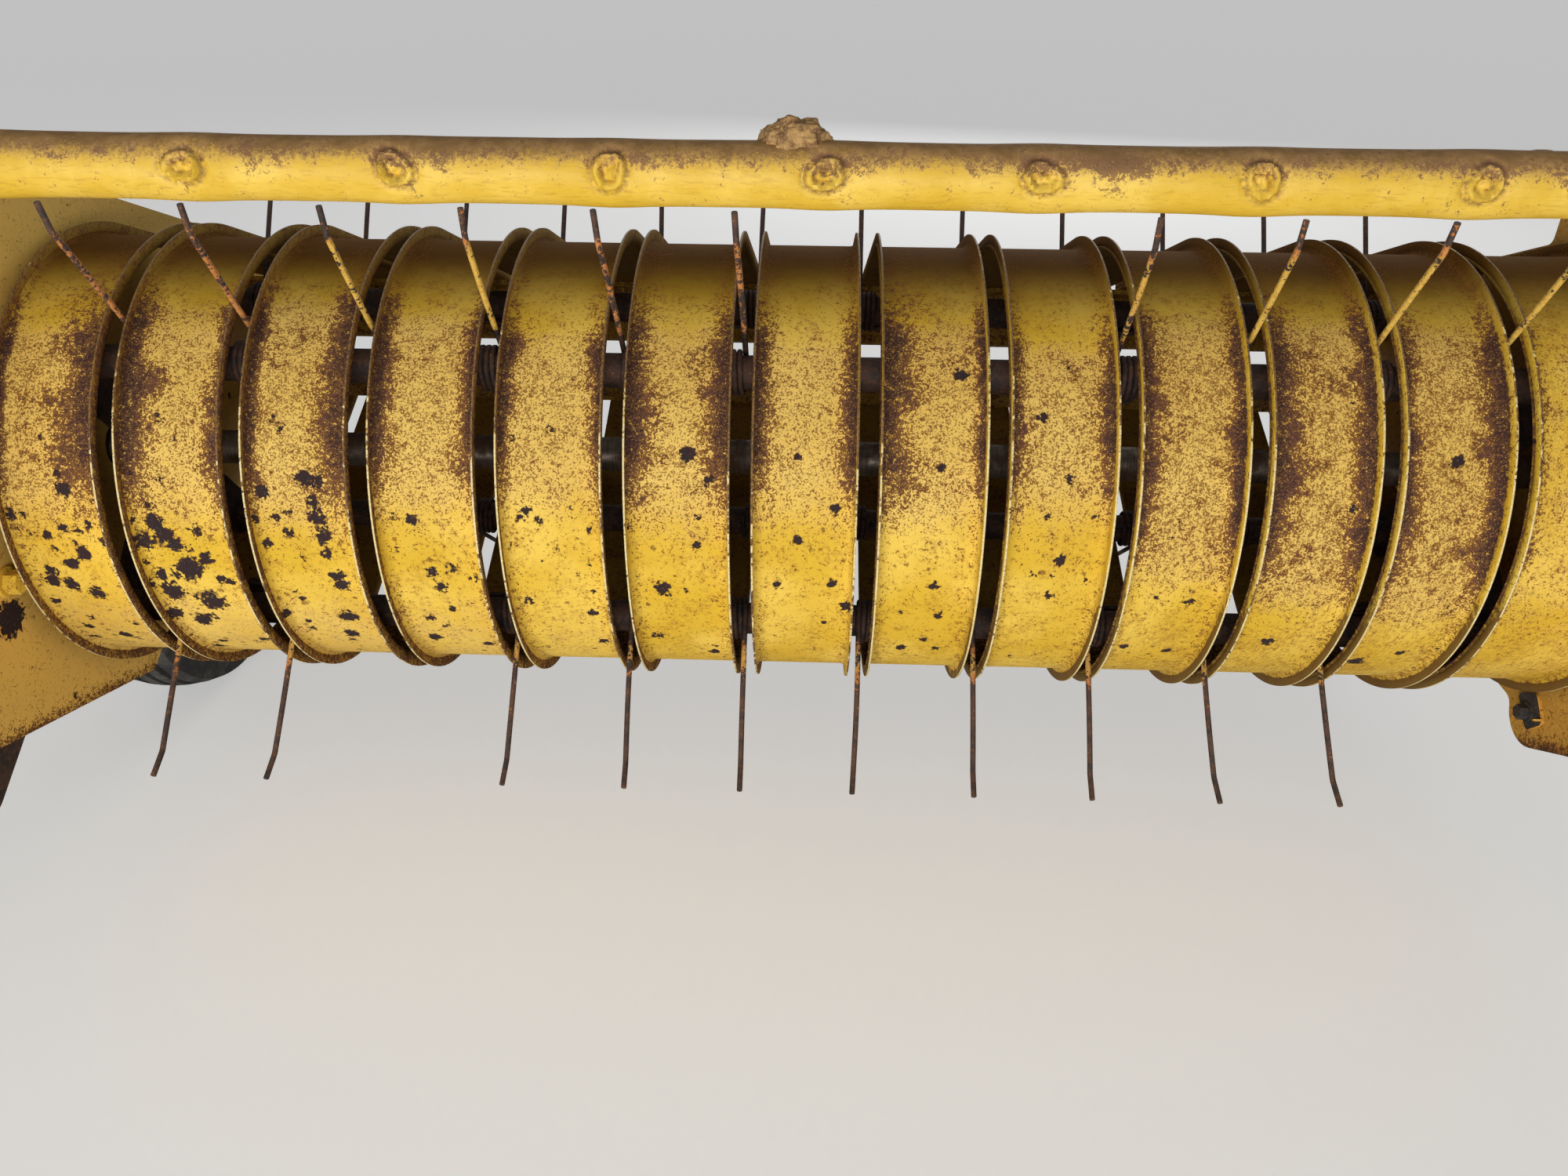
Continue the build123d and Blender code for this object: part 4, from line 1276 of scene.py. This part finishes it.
# %% Bolts of the bands
def band_bolts():
    """Heads outside and nuts inside, two for each leg of each band."""
    mesh = bmesh.new()
    head = one_bolt(BAND_BOLT, washer=0.011)
    nut = one_bolt(BAND_BOLT, proud=0.004)
    inside = WEB_RADIUS - FRAME_SHEET - ANGLE_WALL
    for number in range(BAND_COUNT):
        middle = (number - (BAND_COUNT - 1) / 2) * TINE_PITCH
        for x in (middle - BOLT_SPREAD, middle + BOLT_SPREAD):
            for side in (1, -1):
                point, out = on_leg(side, WEB_RADIUS, BOLT_ALONG, x)
                set_down(mesh, head, seat(point, out))
                point, out = on_leg(side, inside, BOLT_ALONG, x)
                set_down(mesh, nut, seat(point, -out))
    return mesh


bolts_mesh = band_bolts()
print("bolt faces on the bands:", len(bolts_mesh.faces))
piece("band_bolts", bolts_mesh, (grimed_and_shaded_enamel,), "head_frame", "worn_yellow_paint")


# %% [markdown]
# ### Bolts of the plates and of the wheel
#
# These follow the frame's boxes: a bearing has a bolt above and one below its shaft, the shoe's three lie
# where it covers the sheet, and the wheel's five stand in a ring on the rim's disc. Inside the left sheet the
# reel's bars pass close by, so the wheel arm's bolts have no nuts that stand out there.

# %% Bolts of the plates
left_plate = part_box("nose_shoe")[0].x
left_sheet_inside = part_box("left_end_sheet")[1].x
right_sheet_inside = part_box("right_end_sheet")[0].x
BEARING_FLANGE = 0.006
BEARING_BOLT_OUT = 0.046
ARM_WALL = 0.010
DISC_HALF = 0.004
SHOE_BOLTS = ((-0.250, -0.150), (-0.290, -0.128), (-0.296, -0.090))
ARM_BOLTS = ((0.082, -0.072), (0.120, -0.106))
OUT_LEFT = (-1, 0, 0)
OUT_RIGHT = (1, 0, 0)


def plate_bolts():
    """Bolts of the bearings, the shoe and the wheel arm, and the one inside the left sheet."""
    mesh = bmesh.new()
    large = one_bolt(PLATE_BOLT, washer=0.014)
    low = one_bolt(LOW_BOLT)
    for side in (1, -1):
        height = REEL.z + side * BEARING_BOLT_OUT
        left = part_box("left_bearing")[1].x - BEARING_FLANGE
        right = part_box("right_bearing")[0].x + BEARING_FLANGE
        set_down(mesh, large, seat((left, REEL.y, height), OUT_LEFT))
        set_down(mesh, large, seat((right, REEL.y, height), OUT_RIGHT))
    for back, up in SHOE_BOLTS:
        set_down(mesh, large, seat((left_plate, REEL.y + back, REEL.z + up), OUT_LEFT))
    arm_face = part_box("gauge_wheel_arm")[1].x - ARM_WALL
    for back, up in ARM_BOLTS:
        set_down(mesh, low, seat((arm_face, REEL.y + back, REEL.z + up), OUT_LEFT))
    inside = Vector((left_sheet_inside, REEL.y + BOLT_INSIDE.y, REEL.z + BOLT_INSIDE.z))
    set_down(mesh, one_bolt(INSIDE_BOLT, washer=0.0135), seat(inside, OUT_RIGHT))
    return mesh


piece("plate_bolts", plate_bolts(), (frame_enamel,), "head_frame", "yellow_frame_paint")


def wheel_bolts():
    """Ring of bolts on the rim's disc."""
    mesh = bmesh.new()
    bolt = one_bolt(WHEEL_BOLT, washer=0.012)
    low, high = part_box("gauge_rim")
    face = (low.x + high.x) / 2 - DISC_HALF
    for number in range(WHEEL_BOLTS):
        around = ahead(WHEEL_BOLT_CIRCLE, number * 360 / WHEEL_BOLTS + 18)
        set_down(mesh, bolt, seat(Vector((face, WHEEL.y, WHEEL.z)) + around, OUT_LEFT))
    return mesh


piece("wheel_bolts", wheel_bolts(), (cast_grime,), "gauge_wheel", "yellow_frame_paint")


def pivot_bolts():
    """The large nuts on the windguard's two pivot pins."""
    mesh = bmesh.new()
    nut = one_bolt(PIVOT_BOLT, washer=0.020)
    pivot = AXIS["windguard_lift"]
    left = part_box("guard_arm_left")[0].x
    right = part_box("guard_arm_right")[1].x
    set_down(mesh, nut, seat((left, pivot.y, pivot.z), OUT_LEFT))
    set_down(mesh, nut, seat((right, pivot.y, pivot.z), OUT_RIGHT))
    return mesh


piece("pivot_bolts", pivot_bolts(), (frame_enamel,), "windguard", "yellow_frame_paint")

# %% [markdown]
# ## The tab inside the right sheet
#
# A small bent tab is bolted inside the right sheet, below the last band. Its face comes from four corners, a
# bevel rounds them, and the edge that lies foremost is drawn out as the flange.

# %% Tab
TAB_CORNERS = ((-0.0885, -0.1914), (-0.1120, -0.1750), (-0.1340, -0.1955), (-0.1160, -0.2155))
TAB_BOLT = (-0.1095, -0.1986)
TAB_THICK = 0.003
TAB_FLANGE = 0.008


def bent_tab():
    """The tab, its flange and its bolt."""
    mesh = bmesh.new()
    x = right_sheet_inside
    verts = [mesh.verts.new((x, REEL.y + back, REEL.z + up)) for back, up in TAB_CORNERS]
    face = mesh.faces.new(verts)
    made = bmesh.ops.extrude_face_region(mesh, geom=[face])["geom"]
    outer = only(made, bmesh.types.BMVert)
    bmesh.ops.translate(mesh, vec=(-TAB_THICK, 0, 0), verts=outer)
    bmesh.ops.recalc_face_normals(mesh, faces=mesh.faces)
    upright = [edge for edge in mesh.edges if abs(edge.verts[0].co.x - edge.verts[1].co.x) > TAB_THICK / 2]
    bmesh.ops.bevel(mesh, geom=upright, offset=0.005, segments=4, profile=0.5, affect="EDGES", material=-1)
    front = max((f for f in mesh.faces if f.normal.x < -0.9), key=bmesh.types.BMFace.calc_area)
    far_edge = max(front.edges, key=lambda edge: sum(vert.co.z - vert.co.y for vert in edge.verts))
    lip = bmesh.ops.extrude_edge_only(mesh, edges=[far_edge])["geom"]
    bmesh.ops.translate(mesh, vec=(-TAB_FLANGE, 0, 0), verts=only(lip, bmesh.types.BMVert))
    bmesh.ops.solidify(mesh, geom=only(lip, bmesh.types.BMFace), thickness=0.002)
    back, up = TAB_BOLT
    head = one_bolt(0.013, washer=0.0095)
    bolt = set_down(mesh, head, seat((x - TAB_THICK, REEL.y + back, REEL.z + up), OUT_LEFT))
    for face in {face for vert in bolt for face in vert.link_faces}:
        face.material_index = 1
    return mesh


piece("sheet_tab", bent_tab(), (right_sheet_enamel, cast_grime), "head_frame", "yellow_frame_paint")


# %% [markdown]
# ## The ribbed tyre
#
# An implement tyre has plain ribs round it, so one section spun round the axle makes it. The sidewall swells
# between the bead and the shoulder, with two raised rings, and four grooves cut the crown into five ribs. The
# frame's plain tyre keeps the same outline.

# %% Measures of the tyre
TYRE_RADIUS = 0.200
SHOULDER_RADIUS = 0.191
SHOULDER_OUT = 0.042
BEAD_RADIUS = 0.104
BEAD_OUT = 0.038
SIDE_SWELL = 0.010
RING_RISE = 0.0014
GROOVES = (-0.026, -0.0095, 0.0095, 0.026)
GROOVE_HALF = 0.0028
GROOVE_DEPTH = 0.0070
SIDE_STEPS = 22
TYRE_STEPS = 96
RINGS = (0.30, 0.80)
RING_WIDTH = 0.035


def sidewall(side):
    """Points (across, radius) of one sidewall from its bead to its shoulder."""
    points = []
    for step in range(SIDE_STEPS + 1):
        share = step / SIDE_STEPS
        ring = sum(bump(share - place, RING_WIDTH) for place in RINGS)
        swell = (SIDE_SWELL - RING_RISE + RING_RISE * ring) * sin(share * pi)
        out = BEAD_OUT + (SHOULDER_OUT - BEAD_OUT) * share + swell
        points.append((side * out, BEAD_RADIUS + (SHOULDER_RADIUS - BEAD_RADIUS) * share))
    return points


def crown(across):
    """Radius of the crown at a place across the tyre."""
    return TYRE_RADIUS - (TYRE_RADIUS - SHOULDER_RADIUS) * (across / SHOULDER_OUT) ** 2


def ribbed_tyre():
    """Closed section spun round the wheel's axle."""
    section = sidewall(-1)
    for groove in GROOVES:
        low, high = groove - GROOVE_HALF, groove + GROOVE_HALF
        section += [(low - 0.0008, crown(low)), (low + 0.0006, crown(low) - GROOVE_DEPTH)]
        section += [(high - 0.0006, crown(high) - GROOVE_DEPTH), (high + 0.0008, crown(high))]
    section += sidewall(1)[::-1]
    mesh = bmesh.new()
    verts = [mesh.verts.new((WHEEL.x + across, WHEEL.y, WHEEL.z + radius)) for across, radius in section]
    edges = [mesh.edges.new(pair) for pair in zip(verts, verts[1:] + verts[:1])]
    bmesh.ops.spin(mesh, geom=verts + edges, cent=WHEEL, axis=ACROSS, dvec=(0, 0, 0), angle=radians(360),
                   steps=TYRE_STEPS, use_merge=True)
    return mesh


tyre_mesh = ribbed_tyre()
print("tyre faces:", len(tyre_mesh.faces))
piece("ribbed_tyre", tyre_mesh, (dusty_rubber(),), "gauge_wheel", "tyre_rubber", "gauge_tyre", crease=30)


# %% [markdown]
# ## Mud and straw
#
# A lump of dried mud sits on top of the tube, and farther right a few straws lie over it. The lump is a
# sphere that noise roughens, the kind of shape that one would sculpt. Each straw is a ring drawn out along a
# bent way.

# %% Dried mud
MUD_PLACE = Vector((-0.0225, 0.0035, 0.0190))
MUD_SIZE = Vector((0.0235, 0.0140, 0.0165))


def dried_mud():
    """Pale crumbly clay."""
    finish = Finish("dried_mud")
    lumps = finish.cloud(0.0090, 5, 0.7)
    crumbs = finish.cloud(0.0022, 4, 0.7)
    colour = finish.mix(lumps.rise(0.36, 0.62), tone(122, 86, 54), tone(188, 148, 92))
    colour = finish.mix(crumbs.rise(0.50, 0.66) * 0.6, colour, tone(214, 178, 118))
    return finish.surface(colour, 0.95, lumps + crumbs * 0.8, 0.0009)


def mud_lump():
    """Rough lump that sits on the tube."""
    mesh = bmesh.new()
    bmesh.ops.create_icosphere(mesh, subdivisions=5, radius=1.0)
    for vert in mesh.verts:
        way = vert.co.normalized()
        rough = noise.noise(way * 2.1) * 0.16 + noise.noise(way * 5.5) * 0.12 + noise.noise(way * 13) * 0.06
        vert.co = way * (1 + rough) * MUD_SIZE
        vert.co.z = max(vert.co.z, -0.010)
    bmesh.ops.translate(mesh, vec=tube_axis + MUD_PLACE, verts=mesh.verts)
    return mesh


piece("mud_lump", mud_lump(), (dried_mud(),), "windguard", "yellow_frame_paint", crease=70)

# %% Straws
STRAW_RADIUS = 0.0005
STRAW_SIDES = 5
STRAW_SEGMENTS = 7
# Each straw: place along the head, place to the rear, both in metres, direction in degrees, length in mm
TUBE_STRAWS = ((0.452, 0.016, 40, 24), (0.458, 0.014, -25, 18), (0.468, 0.020, 70, 30))


def straw(mesh, start, heading, length, droop):
    """A thin stem that starts along a heading and droops."""
    place = Matrix.Translation(start) @ heading.to_track_quat("Z", "X").to_matrix().to_4x4()
    loop = ring_of_edges(mesh, STRAW_SIDES, STRAW_RADIUS, place, True)
    for step in range(STRAW_SEGMENTS):
        fall = Vector((random.uniform(-0.3, 0.3), 0, -droop * step / STRAW_SEGMENTS))
        way = (heading + fall).normalized() * length / STRAW_SEGMENTS
        loop = drawn_out(mesh, loop, way)
    closed_off(mesh, loop)


def straws_on_tube():
    """Straws that lie over the top of the tube."""
    mesh = bmesh.new()
    for x, back, turn, length in TUBE_STRAWS:
        start = Vector((x, tube_axis.y + back * 0.6, tube_axis.z + TUBE_RADIUS * 0.86))
        heading = Vector((sin(radians(turn)), -cos(radians(turn)), 0.35))
        straw(mesh, start, heading.normalized(), length / 1000, 0.9)
    return mesh


def dried_straw():
    """Grey-gold straw."""
    finish = Finish("dried_straw")
    along = finish.cloud(0.006, 3, 0.6)
    colour = finish.mix(along.rise(0.35, 0.65), tone(196, 160, 104), tone(228, 204, 158))
    return finish.surface(colour, 0.7, along, 0.0001)


piece("tube_straws", straws_on_tube(), (dried_straw(),), "windguard", "yellow_frame_paint", crease=60)

# %% [markdown]
# ## Finishes for what the frame already shapes well
#
# Sheets, angles, arms, shaft, spiders, bearings and sprocket keep their own shapes. They only get a finish.

# %% Dress the frame's own nodes
NODE_FINISHES = {
    left_sheet_enamel: ("left_end_sheet",),
    right_sheet_enamel: ("right_end_sheet",),
    frame_enamel: ("gauge_wheel_arm", "guard_arm_left", "guard_arm_right", "gauge_rim"),
    grimed_and_shaded_enamel: ("upper_cross_angle", "lower_cross_angle", "pivot_tube", "lift_lug"),
    plate_rust: ("reel_spider_left", "reel_spider_middle", "reel_spider_right", "nose_shoe"),
    shaft_finish: ("reel_shaft", "drive_sprocket"),
    cast_grime: ("left_bearing", "right_bearing"),
}

for finish, names in NODE_FINISHES.items():
    for name in names:
        data = frame["nodes"][name].data
        data.materials.clear()
        data.materials.append(finish.material)
